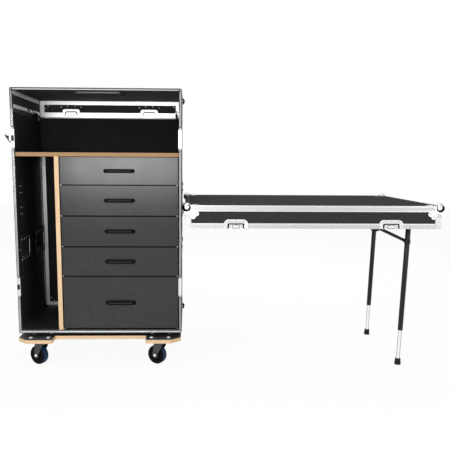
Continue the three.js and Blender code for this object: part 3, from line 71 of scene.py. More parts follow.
MILLIMETRE = 0.001
SHARP_ANGLE = 35.0  # degrees between faces from which an edge is drawn sharp
ORIGIN = np.array([629.0, 257.0, 0.0])  # origin of the row frame, in the case's own frame
LEFT, RIGHT = -1, 1
SIDES = ((LEFT, "left"), (RIGHT, "right"))
ALONG, UP, FRONT = (1, 0, 0), (0, 0, 1), (0, -1, 0)

# Planes and places of the case
X_OUT = 425.0
X_WALL = 413.5
CASE_DEPTH = 541.5
Y_WALL = 530.0
Z_BASE = 173.6
Z_SEAM = 1322.0
Z_TOP = 1429.0
Z_CEILING = 1417.5
ANGLE_LEG = 30.0
BALL_INSET = 8.0
HINGE_XS, HINGE_BACK = (-229.0, 229.0), 526.1
TOP_DISH_Y = 134
STRUT_X = 393.0
STRUT_BODY, STRUT_LID = np.array([500.0, 1310.0]), np.array([274.0, 1337.5])  # studs as y and z
LATCH_HEIGHTS = (1182.0, 420.6)
LATCH_WINDOW = 58.0  # half the height that a latch takes out of the rim
LATCH_SEAT = (411.2, 40.0)  # middle of a latch's cam as x and y
LATCH_BACK = 409.7
OPEN_LATCH = 1
GRIP_Z = 611.0
GRIP_YS = (113.0, 411.0)
GRIP_PIVOT, GRIP_DROP = 48, 40  # the bail's pivot over the dish's middle, and how far the bail hangs below it
CASTER_PLACES = [(-313.5, 14.0), (313.5, 14.0), (-313.5, 527.5), (313.5, 527.5)]
CASTER_TURN = 150.0  # degrees that the forks are swivelled at rest
WHEEL_SEAT = (20, 0, 50)  # wheel's middle from the swivel's axis at the floor, along the fork
FORK_INNER, FORK_OUTER = 20.5, 23.5
BOARD_LOW = 138.0
BOARD_TOP = 157.0
PLATE_LOW = BOARD_LOW - 4.3
BOLT_PITCH = (90.0, 78.0)
DRAWER_HEIGHTS = (144.0, 158.0, 160.0, 156.0, 284.0)
DRAWERS_TOP = 1093.0
DRAWER_GAP = 3.0
FRONT_LEFT, FRONT_RIGHT = -195.0, 408.5
FRONT_FACE, FRONT_BACK = 20.0, 38.0
PULL_PLANE = 5.2  # y of the middle of a bow pull's bar

# Planes and places of the table and its legs
TABLE_LEFT, TABLE_RIGHT = 444.6, 1700.0
TABLE_FRONT, TABLE_REAR = -168.0, 682.0
TABLE_LOW, TABLE_TOP = 750.0, 862.7
TABLE_CORNER_XS = (TABLE_LEFT + 12.5, TABLE_RIGHT - 12.5)
TABLE_SIDES = ((TABLE_FRONT, "front"), (TABLE_REAR, "rear"))
TABLE_ENDS = ((TABLE_LEFT, "left"), (TABLE_RIGHT, "right"))
TABLE_BALL_DROP = -3.0  # height of the table's balls against the other corners' place
KEEPER_XS = (691.6, 1453.0)
LEG_X, LEG_Z = 1605.0, 833.2
LEG_YS = (-6.75, 520.75)
LEG_LEAN = 19.0
LEG_UPPER_END = 189.0
CLAMP_Z = 665.0
BRACE_X = 1235.0
BRACE_OFFSET = 24.0
BRACKET_Y = 503.0  # front of the plate between a leg's clamp and its brace

# Places of the two rivets of a corner plate from the corner, and the plate's rounding about them
EARS = ((54.0, 38.0), (40.0, 54.0))
EAR_RADIUS = 12.5
LEAF_TOP = 1.6

# Beads up the fronts of the rims, as inset and width: a dark one on the left, painted as the shade of the rim's
# rounded edge, and a dark line on both sides, painted as the shade along the rim's inner edge
LEFT_BEADS = {"case": (1.5, 2.6), "lid": (2.0, 4.0)}
DARK_LINES = {"case": (12.2, 2.4), "lid": (11.4, 4.0)}

# Rings of pressed dishes as width, height, corner radius and height above the face
GRIP_DISH = (
    (146.4, 146.4, 8, -18.1), (147.3, 147.3, 9, -17.6), (147.8, 147.8, 9, -1.6), (150, 150, 10, -1.2),
    (163.6, 159.6, 12, -1.2), (163.8, 159.8, 12, 0.2), (162.6, 158.6, 12, 0.9), (150.5, 150.5, 10, 0.9),
    (148.2, 148.2, 9, 0.2), (147.2, 147.2, 9, -1.6), (146.8, 146.8, 9, -16), (143, 143, 8, -17.8),
)
TOP_DISH = (
    (200, 130, 12, -21.2), (228, 158, 12, -20.6), (230.4, 160.4, 13, -1.4), (233, 163, 14, -1.0),
    (259.6, 189.6, 18, -1.0), (259.8, 189.8, 18, 0.3), (258, 188, 17, 1.0), (234, 164, 14, 1.0),
    (230.8, 160.8, 13, 0), (229.4, 159.4, 13, -1.6), (227, 157, 12, -19.2), (214, 144, 10, -20.4),
)

# Rivets of a lifting grip's dish and of a latch's dish, from their middle
GRIP_RIVETS = [(a, b) for a in (-78.4, 78.4) for b in (-62, 0, 62)]
GRIP_RIVETS += [(a, b) for a in (-47, 0, 47) for b in (-77.4, 77.4)]
LATCH_RIVETS = [(84, -46), (84, 0), (84, 46), (42, 51), (42, -51), (66, 51), (66, -51)]

RIM_ROUGH = 0.7  # roughness of bare metal that is seen along its face

# Stage: the white of the surroundings and the floor, and the camera in metres and radians
WHITE = (1, 1, 1, 1)
WORLD_STRENGTH = 0.42
FLOOR_RADIUS = 12000
FLOOR_GLOW = 0.94
CAMERA_PLACE = (-0.1731, -3.1475, 1.0774)
CAMERA_ANGLES = (0.027, 0.144, 0.006)  # yaw, pitch and roll
CAMERA_SENSOR, CAMERA_LENS = 36.0, 45.18
CAMERA_SHIFT = (0.05, 0.0383)

# Outward directions of the faces: along, up and out
FACES = {
    "left": ((0, 1, 0), (0, 0, 1), (-1, 0, 0)),
    "right": ((0, 1, 0), (0, 0, 1), (1, 0, 0)),
    "front": ((1, 0, 0), (0, 0, 1), (0, -1, 0)),
    "rear": ((1, 0, 0), (0, 0, 1), (0, 1, 0)),
    "top": ((1, 0, 0), (0, 1, 0), (0, 0, 1)),
    "under": ((1, 0, 0), (0, 1, 0), (0, 0, -1)),
}


def outward(points, quads):
    """Quads turned so that the solid's volume, the sum of a . (b x c) / 6 over its triangles, is positive."""
    a, b, c, d = (points[quads[:, k]] for k in range(4))
    volume = np.einsum("ij,ij->", a, np.cross(b, c)) + np.einsum("ij,ij->", a, np.cross(c, d))
    return (points, quads) if volume > 0 else (points, quads[:, ::-1])


def loft(rings, closed=False):
    """Point (i, j) is ring i's point j. Ends close in their ring's middle, or the last meets the first."""
    rings = np.asarray(rings, float)
    if not closed:
        first, last = (0 * ring + ring.mean(axis=1, keepdims=True) for ring in (rings[:1], rings[-1:]))
        rings = np.concatenate([first, rings, last])
    m, n = rings.shape[:2]
    i, j = np.meshgrid(np.arange(m if closed else m - 1), np.arange(n), indexing="ij")
    up, on = (i + 1) % m, (j + 1) % n
    quads = np.stack([i * n + j, i * n + on, up * n + on, up * n + j], axis=-1).reshape(-1, 4)
    return outward(rings.reshape(-1, 3), quads)


def rounded(width, height, radius, steps=5, centre=(0, 0)):
    """Rounded rectangle: each corner's centre plus radius (cos t, sin t), with t over a quarter turn."""
    turn = np.radians(np.linspace(0, 90, steps)[None] + np.array([0, 90, 180, 270])[:, None])
    x = np.array([1, -1, -1, 1])[:, None] * (width / 2 - radius) + radius * np.cos(turn)
    y = np.array([1, 1, -1, -1])[:, None] * (height / 2 - radius) + radius * np.sin(turn)
    return np.stack([x, y], axis=-1).reshape(-1, 2) + np.asarray(centre, float)


def circle(radius, steps=32):
    """Points radius (cos t, sin t), with t over a full turn."""
    turn = np.linspace(0, 2 * np.pi, steps, endpoint=False)
    return radius * np.stack([np.cos(turn), np.sin(turn)], axis=-1)


def shrunk(outline, distance):
    """Each point moves inward by the distance, at right angles to the line between its two neighbours."""
    line = np.roll(outline, -1, axis=0) - np.roll(outline, 1, axis=0)
    line = line / np.maximum(np.linalg.norm(line, axis=1, keepdims=True), 1e-9)
    return outline + distance * np.stack([-line[:, 1], line[:, 0]], axis=-1)


def lifted(outline, height):
    """A flat outline at a height."""
    return np.column_stack([outline, np.full(len(outline), float(height))])


def plate(outline, low, high, edge=0.6):
    """Walls from low up to a rounded upper edge: inset edge (1 - cos t) at height high - edge (1 - sin t).
    The last ring lies flat a little further in, so that the shading of the flat face stays even."""
    turn = np.radians([0, 30, 60, 90])
    insets = np.concatenate([[0], edge * (1 - np.cos(turn)), [edge + 0.08]])
    heights = np.concatenate([[low], high - edge * (1 - np.sin(turn)), [high]])
    return stacked([(shrunk(outline, a), h) for a, h in zip(insets, heights)])


def stacked(rings):
    """Outlines, each at its height, joined in order."""
    return loft([lifted(outline, h) for outline, h in rings])


def pressed(rings):
    """A pressed dish from rounded rectangles, each with width, height, corner radius and place off the face."""
    return stacked([(rounded(w, h, r, 7), d) for w, h, r, d in rings])


def turned(profile, steps=32, closed=False):
    """Profile points (r, h) turned about z: (r cos t, r sin t, h)."""
    ring = circle(1.0, steps)
    return loft([lifted(ring * r, h) for r, h in profile], closed)


def carried(path, section, normal):
    """Section point (a, b) at path point p lies at p + a n + b (n x t), with n the normal and t the line."""
    path, section = np.asarray(path, float), np.asarray(section, float)
    line = np.gradient(path, axis=0)
    line /= np.linalg.norm(line, axis=1, keepdims=True)
    n = np.asarray(normal, float)
    across = np.cross(n, line)
    return loft(path[:, None] + section[None, :, :1] * n + section[None, :, 1:] * across[:, None])


def bent(corners, radius, steps=6):
    """Path round corners: (1-t)^2 a + 2 t (1-t) corner + t^2 b, with a and b on the path a radius off."""
    corners = np.asarray(corners, float)
    t = np.linspace(0, 1, steps)[:, None]
    path = [corners[:1]]
    for before, corner, after in zip(corners, corners[1:], corners[2:]):
        a = corner + radius * (before - corner) / np.linalg.norm(before - corner)
        b = corner + radius * (after - corner) / np.linalg.norm(after - corner)
        path.append((1 - t) ** 2 * a + 2 * t * (1 - t) * corner + t**2 * b)
    return np.concatenate(path + [corners[-1:]])


def placed(shape, origin, axes):
    """Local (a, b, c) goes to origin + a u + b v + c w."""
    points, quads = shape
    return outward(points @ np.asarray(axes, float) + np.asarray(origin, float), quads)


def along(shape, start, end):
    """A shape whose z axis runs from start towards end."""
    start, end = np.asarray(start, float), np.asarray(end, float)
    w = (end - start) / np.linalg.norm(end - start)
    helper = np.array([0.0, 1.0, 0.0]) if abs(w[1]) < 0.9 else np.array([1.0, 0.0, 0.0])
    u = np.cross(helper, w)
    u /= np.linalg.norm(u)
    return placed(shape, start, (u, np.cross(w, u), w))


def bar(start, end, radius, edge=0.8, steps=24):
    """A round bar between two points with softened end edges."""
    length = float(np.linalg.norm(np.asarray(end, float) - np.asarray(start, float)))
    profile = [(radius - edge, 0), (radius, edge), (radius, length - edge), (radius - edge, length)]
    return along(turned(profile, steps), start, end)


def strip(start, end, across, out, width, low, high):
    """A flat strip on the line between two points, its width along across, from low to high above the face."""
    start, end = np.asarray(start, float), np.asarray(end, float)
    length = float(np.linalg.norm(end - start))
    body = plate(rounded(length, width, width * 0.25, 4), low, high, 0.4)
    return placed(body, (start + end) / 2, ((end - start) / length, across, out))


def arch(half, height, radius):
    """An arch's outline: straight sides, then corners radius (1 - cos t) in and radius (1 - sin t) down."""
    t = np.radians(np.linspace(0, 90, 10))
    right = np.column_stack([half - radius * (1 - np.cos(t)), height - radius * (1 - np.sin(t))])
    return np.concatenate([[[half, 0]], right, right[::-1] * [-1, 1], [[-half, 0]]])


def repeated(shape, places, face):
    """Copies of a shape that face one way, one at each place."""
    points, quads = placed(shape, (0, 0, 0), FACES[face])
    places = np.asarray(places, float).reshape(-1, 3)
    many = (points[None] + places[:, None]).reshape(-1, 3)
    return many, (quads[None] + np.arange(len(places))[:, None, None] * len(points)).reshape(-1, 4)


def welded(points, quads):
    """Points that share a place become one. A quad less a corner is a triangle, and one less two goes."""
    _, first, back = np.unique(np.round(points, 4), axis=0, return_index=True, return_inverse=True)
    quads = back.reshape(-1)[quads]
    same = quads == np.roll(quads, -1, axis=1)
    lost = same.sum(axis=1)
    thin = quads[lost == 1]
    order = (same[lost == 1].argmax(axis=1)[:, None] + np.array([1, 2, 3])) % 4
    return points[first], quads[lost == 0], np.take_along_axis(thin, order, axis=1)


def make(name, shapes, finish, body, replaces=()):
    """Joins shapes, millimetres in the case's frame, into one smooth-shaded piece in the row frame."""
    points, faces, start = [], [], 0
    for shape in shapes:
        own, quads, triangles = welded(*shape)
        points.append(own)
        faces += (quads + start).tolist() + (triangles + start).tolist()
        start += len(own)
    mesh = bpy.data.meshes.new(name)
    mesh.from_pydata(((np.concatenate(points) - ORIGIN) * MILLIMETRE).tolist(), [], faces)
    mesh.validate()
    mesh.shade_smooth()
    mesh.set_sharp_from_angle(angle=math.radians(SHARP_ANGLE))
    mesh.materials.append(bpy.data.materials[finish])
    piece = bpy.data.objects.new(name, mesh)
    bpy.context.scene.collection.objects.link(piece)
    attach(piece, body)
    if replaces:
        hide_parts(*replaces)


# Small fittings that many pieces use


def rivet(radius=3.4, height=1.3):
    """A low dome: radius cos t across and height sin t up."""
    turn = np.radians([0, 25, 50, 75])
    return turned([(radius, -0.8), *zip(radius * np.cos(turn), height * np.sin(turn))], 12)


def hex_nut(width, height):
    """A six-sided nut with a turned chamfer and a domed bolt end."""
    across = width / 2
    body = turned([(across, 0), (across, height - 0.9), (across - 0.9, height)], 6)
    end = turned([(across * 0.5, 0), (across * 0.5, height + 1.2), (across * 0.35, height + 2)], 16)
    return [body, end]


def washer(radius, height):
    """A flat ring-faced washer with a soft edge."""
    return turned([(radius, -0.1), (radius, height - 0.4), (radius - 0.4, height)], 28)


def row(start, end, count):
    """Evenly spaced places between two points, ends included."""
    t = np.linspace(0, 1, count)[:, None]
    return np.asarray(start, float) * (1 - t) + np.asarray(end, float) * t


def ball_corner(corner, inward, radius, drop=0.0):
    """Radius r(d) along direction d from an inset centre: r = R, but no deeper than the panels behind."""
    inward = np.asarray(inward, float)
    centre = np.asarray(corner, float) + BALL_INSET * inward + np.array([0, 0, drop])
    tilt = np.linspace(0, np.pi, 15)[:, None]
    turn = np.linspace(0, 2 * np.pi, 28, endpoint=False)[None]
    d = np.stack([np.sin(tilt) * np.cos(turn), np.sin(tilt) * np.sin(turn), np.cos(tilt) + 0 * turn], axis=-1)
    depth = np.min(d * inward, axis=-1, keepdims=True)
    reach = np.minimum(radius, 3.0 / np.maximum(depth, 1e-3))
    return loft(centre + d * reach)


def corner_leaf(corner, along_u, along_v, out):
    """Reach r(t) over a quarter turn: 42 mm, or d cos a + sqrt(e^2 - d^2 sin^2 a) where an ear goes on."""
    t = np.radians(np.linspace(0, 90, 91))
    reach = np.full(t.shape, 42.0)
    for u, v in EARS:
        distance, angle = math.hypot(u, v), t - math.atan2(v, u)
        inside = EAR_RADIUS**2 - (distance * np.sin(angle)) ** 2
        ear = np.where(inside > 0, distance * np.cos(angle) + np.sqrt(np.maximum(inside, 0)), 0)
        reach = np.maximum(reach, ear)
    arc = np.stack([reach * np.cos(t), reach * np.sin(t)], axis=-1)
    outline = np.concatenate([[[0.5, 0.5]], arc + 0.5])
    return placed(plate(outline, -0.4, LEAF_TOP, 0.4), corner, (along_u, along_v, out))


# Materials: node groups that several finishes share, then one function for each kind of finish


def node(tree, kind, inputs=None, **settings):
    """A new node: first its settings, then its inputs by name or number, each a value or a socket to link."""
    made = tree.nodes.new(kind)
    for key, value in settings.items():
        setattr(made, key, value)
    for key, value in (inputs or {}).items():
        if isinstance(value, bpy.types.NodeSocket):
            tree.links.new(value, made.inputs[key])
        else:
            made.inputs[key].default_value = value
    return made


def calc(tree, operation, *values):
    """The result of a Math node on values or sockets."""
    return node(tree, "ShaderNodeMath", dict(enumerate(values)), operation=operation).outputs[0]


def mapped(tree, value, low, high):
    """A value from 0..1 turned to low..high, which may be numbers or sockets."""
    return node(tree, "ShaderNodeMapRange", {"Value": value, "To Min": low, "To Max": high}).outputs["Result"]


def stepped(tree, value, low, high):
    """A smooth step of a value from 0 at low to 1 at high."""
    limits = {"Value": value, "From Min": low, "From Max": high}
    return node(tree, "ShaderNodeMapRange", limits, interpolation_type="SMOOTHSTEP").outputs["Result"]


def along_axis(tree, coordinate, axis):
    """The part of a texture coordinate along an axis."""
    place = node(tree, "ShaderNodeTexCoord").outputs[coordinate]
    return node(tree, "ShaderNodeVectorMath", {0: place, 1: axis}, operation="DOT_PRODUCT").outputs["Value"]


def blended(tree, mask, first, second):
    """Colour first where the mask is 0 and second where it is 1. Each is a colour or a socket."""
    a, b = (end if isinstance(end, bpy.types.NodeSocket) else (*tuple(end)[:3], 1) for end in (first, second))
    return node(tree, "ShaderNodeMix", {"Factor": mask, "A": a, "B": b}, data_type="RGBA").outputs["Result"]


def new_group(name, inputs, outputs):
    """A shader node group and its given sockets. The size of an input's default tells its socket's kind."""
    group = bpy.data.node_groups.new(name, "ShaderNodeTree")
    for label, default in inputs.items():
        kind = {1: "Float", 3: "Vector", 4: "Color"}[np.size(default)]
        socket = group.interface.new_socket(label, in_out="INPUT", socket_type=f"NodeSocket{kind}")
        socket.default_value = default
    for label, kind in outputs.items():
        group.interface.new_socket(label, in_out="OUTPUT", socket_type=f"NodeSocket{kind}")
    return group, node(group, "NodeGroupInput").outputs


def stretched_place(tree, given):
    """Object coordinates times the group's Stretch."""
    factors = {0: node(tree, "ShaderNodeTexCoord").outputs["Object"], 1: given["Stretch"]}
    return node(tree, "ShaderNodeVectorMath", factors, operation="MULTIPLY").outputs["Vector"]


def build_grain_group():
    """Fine noise stretched along the piece: a value between Low and High, and a height for bump."""
    inputs = {"Stretch": (1, 1, 1), "Scale": 200.0, "Low": 0.0, "High": 1.0}
    group, given = new_group("Grain", inputs, {"Value": "Float", "Height": "Float"})
    settings = {"Vector": stretched_place(group, given), "Scale": given["Scale"], "Detail": 5}
    noise = node(group, "ShaderNodeTexNoise", settings).outputs["Fac"]
    value = mapped(group, noise, given["Low"], given["High"])
    node(group, "NodeGroupOutput", {"Value": value, "Height": noise})


def build_scuff_group():
    """Rubbed patches broken up by finer noise: a mask that is Amount where the surface is worn."""
    group, given = new_group("Scuffs", {"Stretch": (1, 1, 1), "Scale": 9.0, "Amount": 0.3}, {"Mask": "Float"})
    place = stretched_place(group, given)
    noises = []
    for factor, detail in ((1.0, 6), (14.0, 3)):
        scale = calc(group, "MULTIPLY", given["Scale"], factor)
        settings = {"Vector": place, "Scale": scale, "Detail": detail, "Roughness": 0.62}
        noises.append(node(group, "ShaderNodeTexNoise", settings).outputs["Fac"])
    worn = stepped(group, calc(group, "MULTIPLY", *noises), 0.24, 0.42)
    node(group, "NodeGroupOutput", {"Mask": calc(group, "MULTIPLY", worn, given["Amount"])})


def build_pebble_group():
    """The pressed texture of a laminate, paint or casting: small rounded cells as a height."""
    group, given = new_group("Pebble", {"Stretch": (1, 1, 1), "Scale": 500.0}, {"Height": "Float"})
    settings = {"Vector": stretched_place(group, given), "Scale": given["Scale"]}
    cells = node(group, "ShaderNodeTexVoronoi", settings, feature="SMOOTH_F1").outputs["Distance"]
    node(group, "NodeGroupOutput", {"Height": mapped(group, cells, 1.0, 0.0)})


def build_ply_group():
    """Layers of plywood on an edge: a sine along Layers gives bands, and stretched noise gives the fibres."""
    inputs = {"Layers": (0, 0, 1), "Stretch": (1, 1, 1), "Pitch": 0.0042}
    inputs.update({"Light": (0.7, 0.45, 0.2, 1), "Dark": (0.4, 0.22, 0.09, 1)})
    group, given = new_group("Ply", inputs, {"Color": "Color", "Height": "Float"})
    settings = {"Vector": stretched_place(group, given), "Scale": 22, "Detail": 6}
    noise = node(group, "ShaderNodeTexNoise", settings).outputs["Fac"]
    layers = calc(group, "DIVIDE", along_axis(group, "Object", given["Layers"]), given["Pitch"])
    turn = calc(group, "MULTIPLY", calc(group, "MULTIPLY_ADD", noise, 0.5, layers), 2 * math.pi)
    banded = calc(group, "MULTIPLY_ADD", calc(group, "SINE", turn), 0.22, mapped(group, noise, 0.0, 0.9))
    colour = blended(group, banded, given["Light"], given["Dark"])
    node(group, "NodeGroupOutput", {"Color": colour, "Height": banded})


def effect(tree, name, **values):
    """The outputs of one of the shared node groups with its own values."""
    return node(tree, "ShaderNodeGroup", values, node_tree=bpy.data.node_groups[name]).outputs


def cleared_tree(owner):
    """The emptied node tree of a material or a world."""
    owner.use_nodes = True
    owner.node_tree.nodes.clear()
    return owner.node_tree


def end_finish(tree, height, strength, distance, values):
    """A Bump node from a height, the Principled shader with its values, and the material's output."""
    bump = node(tree, "ShaderNodeBump", {"Height": height, "Strength": strength, "Distance": distance})
    shader = node(tree, "ShaderNodeBsdfPrincipled", {**values, "Normal": bump.outputs["Normal"]})
    node(tree, "ShaderNodeOutputMaterial", {"Surface": shader.outputs["BSDF"]})


def coated_finish(
    name, colour, worn, rough, pebble, wear=0.3, strength=0.25, gloss=0.2, stretch=(1, 1, 1), cloud=60.0
):
    """Laminate, paint, rubber or moulded plastic: an even colour, rubbed patches and a pressed texture."""
    tree = cleared_tree(bpy.data.materials.new(name))
    scuffs = effect(tree, "Scuffs", Stretch=stretch, Scale=7.0, Amount=wear)
    grain = effect(tree, "Grain", Scale=cloud, Low=rough[0], High=rough[1])
    cells = effect(tree, "Pebble", Scale=pebble)
    base = blended(tree, scuffs["Mask"], colour, worn)
    values = {"Base Color": base, "Roughness": grain["Value"], "Specular IOR Level": gloss}
    end_finish(tree, cells["Height"], strength, 0.0004, values)


def metal_finish(
    name, colour, worn_and_edge_shade, rough, scale, wear=0.35, strength=0.08, rim=None, dark=None, metallic=1.0, glossy=False
):
    """Bare or plated metal with worn patches. Where it curves away from the eye, from rim 0 to rim 1, the dark
    colour is painted over it as shade and dark reflection, and unless it is glossy it turns rough there too."""
    tree = cleared_tree(bpy.data.materials.new(name))
    scuffs = effect(tree, "Scuffs", Scale=12.0, Amount=wear)
    grain = effect(tree, "Grain", Scale=scale, Low=rough[0], High=rough[1])
    base, roughness = blended(tree, scuffs["Mask"], colour, worn_and_edge_shade), grain["Value"]
    if rim:
        # painted shade and dark reflection: the base turns to the dark colour where the face turns away from
        # the eye
        painted_rim_shade = stepped(tree, node(tree, "ShaderNodeLayerWeight").outputs["Facing"], *rim)
        base = blended(tree, painted_rim_shade, base, dark)
        if not glossy:
            roughness = mapped(tree, painted_rim_shade, roughness, RIM_ROUGH)
    tint = (0, 0, 0, 1) if rim else (1, 1, 1, 1)
    values = {"Base Color": base, "Roughness": roughness, "Metallic": metallic, "Specular Tint": tint}
    end_finish(tree, grain["Height"], strength, 0.0002, values)


def board_finish(name, axis, stretch, light, dark, colours):
    """A laminated plywood board: laminate on the faces across the axis, and the ply's layers on its edges."""
    tree = cleared_tree(bpy.data.materials.new(name))
    flat = calc(tree, "GREATER_THAN", calc(tree, "ABSOLUTE", along_axis(tree, "Normal", axis)), 0.6)
    edge = effect(tree, "Ply", Layers=axis, Stretch=stretch, Light=(*light, 1), Dark=(*dark, 1))
    scuffs = effect(tree, "Scuffs", Scale=7.0, Amount=0.3)
    face = blended(tree, scuffs["Mask"], colours.laminate, colours.laminate_worn)
    ends = {"Factor": flat, "A": edge["Height"], "B": effect(tree, "Pebble", Scale=520.0)["Height"]}
    heights = node(tree, "ShaderNodeMix", ends, data_type="FLOAT").outputs["Result"]
    base, roughness = blended(tree, flat, edge["Color"], face), mapped(tree, flat, 0.62, 0.42)
    end_finish(tree, heights, 0.2, 0.0003, {"Base Color": base, "Roughness": roughness})


def ply_finish(name, axis, stretch, light, dark):
    """Bare birch ply, such as a drawer's box."""
    tree = cleared_tree(bpy.data.materials.new(name))
    wood = effect(tree, "Ply", Layers=axis, Stretch=stretch, Pitch=0.09, Light=(*light, 1), Dark=(*dark, 1))
    grain = effect(tree, "Grain", Stretch=stretch, Scale=90.0, Low=0.5, High=0.72)
    end_finish(tree, wood["Height"], 0.15, 0.0002, {"Base Color": wood["Color"], "Roughness": grain["Value"]})


def colour_property(name, description, default):
    return bpy.props.FloatVectorProperty(
        name=name, description=description, default=default, subtype="COLOR", size=3, min=0.0, max=1.0
    )


def length_property(name, description, default):
    return bpy.props.FloatProperty(name=name, description=description, default=default, unit="LENGTH", min=0.0)


class RoadCaseColours(bpy.types.PropertyGroup):
    """Colours of the case's finishes."""

    laminate: colour_property("Laminate", "Panels of the case", (0.017, 0.017, 0.018))
    laminate_worn: colour_property("Rubbed laminate", "Rubbed patches of laminate", (0.03, 0.03, 0.031))
    pale_laminate: colour_property("Pale laminate", "Panels of the lid and the table", (0.034, 0.034, 0.035))
    drawer: colour_property("Drawer fronts", "Satin face of the drawers", (0.014, 0.0142, 0.0146))
    drawer_pale: colour_property("Pale drawer clouds", "Clouds in the drawers' face", (0.024, 0.0243, 0.025))
    # painted highlight: the pale line along the middle of a black bow pull's bar, where it catches the light
    pull_highlight_colour: colour_property("Pull highlight", "Worn line along a drawer's pull", (0.06, 0.06, 0.062))
    aluminium: colour_property("Aluminium", "Edge angles", (0.52, 0.524, 0.53))
    rim: colour_property("Rim aluminium", "Closing rims of the case and the lid", (0.36, 0.363, 0.367))
    # colour of the bright zinc plates, and of the bright strips painted as highlights on the rims and bands
    bright: colour_property("Bright aluminium", "Edge beads and plates", (0.78, 0.785, 0.79))
    # painted shade: a dark aluminium colour for the strips and bars that stand in for the shade of the rims'
    # rounded outer edges
    worn_and_edge_shade: colour_property("Edge shade aluminium", "Outer edges of the rims, which face away", (0.06, 0.06, 0.062))
    # painted shade and dark reflection, laid on bare metal where its face turns away from the eye
    shade: colour_property("Shade", "Bare metal that is seen along its face", (0.07, 0.07, 0.072))
    matt: colour_property("Matt aluminium", "Angles and strips inside the case", (0.9, 0.9, 0.905))
    zinc: colour_property("Zinc plate", "Latch dishes, runners and plates", (0.74, 0.745, 0.755))
    rivet: colour_property("Rivets", "Heads of the rivets", (0.4, 0.4, 0.41))
    caster_steel: colour_property("Caster steel", "Forks and top plates of the casters", (0.08, 0.081, 0.084))
    chrome: colour_property("Chrome", "Ball corners, rods and lower tubes of the legs", (0.9, 0.905, 0.91))
    # painted dark reflection, laid on chrome where it curves away from the eye
    painted_chrome_rim_shade: colour_property("Painted chrome rim shade", "Where chrome curves away from the eye", (0.012, 0.012, 0.013))
    steel: colour_property("Black steel", "Painted tubes, grips and handles", (0.006, 0.006, 0.0065))
    tyre: colour_property("Tyres", "Elastic treads of the wheels", (0.006, 0.028, 0.075))
    rubber: colour_property("Rubber", "Feet and the covers of the grips", (0.01, 0.01, 0.01))
    ply_light: colour_property("Light ply", "Light layers of the shelf's ply", (0.42, 0.245, 0.115))
    ply_dark: colour_property("Dark ply", "Dark layers of the shelf's ply", (0.23, 0.12, 0.052))
    birch_light: colour_property(
        "Light birch", "Light layers of the divider, the wheeled board and the boxes", (0.82, 0.59, 0.37)
    )
    birch_dark: colour_property(
        "Dark birch", "Dark layers of the divider, the wheeled board and the boxes", (0.55, 0.36, 0.19)
    )


class RoadCaseSizes(bpy.types.PropertyGroup):
    """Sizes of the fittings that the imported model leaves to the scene."""

    rivet_radius: length_property("Rivet radius", "Radius of a rivet's head", 0.0034)
    ball_radius: length_property("Ball radius", "Radius of a corner's ball", 0.0222)
    pull_length: length_property("Pull length", "Overall length of a drawer's bow pull", 0.155)
    grip_cover: length_property("Grip cover length", "Length of the rubber on a lifting bail", 0.09)
    tyre_round: length_property("Tyre shoulder", "Rounding of a tyre's shoulders", 0.0035)


# CAD nodes that stay, by their finish
KEPT_NODES = {
    "Laminate": ["left_side_panel", "right_side_panel", "base_panel", "rear_panel", "upper_back_board"],
    "Lid laminate": ["lid_shell"],
    "Table laminate": ["table_panel"],
    "Rim aluminium": ["body_rim", "lid_trim"],
    "Aluminium": ["body_edge_trim", "table_trim"],
    "Matt aluminium": ["inner_corner_trim"],
    "Shelf board": ["work_shelf"],
    "Upright board": ["drawer_divider"],
    "Wheeled board": ["dolly_board"],
    "Birch ply": [f"drawer_{k}_box" for k in range(1, 6)],
    "Zinc plate": ["left_runner_set", "right_runner_set", *(f"latch_{k}_dish" for k in range(1, 5))],
    "Black steel": ["table_hanger"],
}


def times(colour, factor):
    """A colour made lighter or darker."""
    return [v * factor for v in colour]


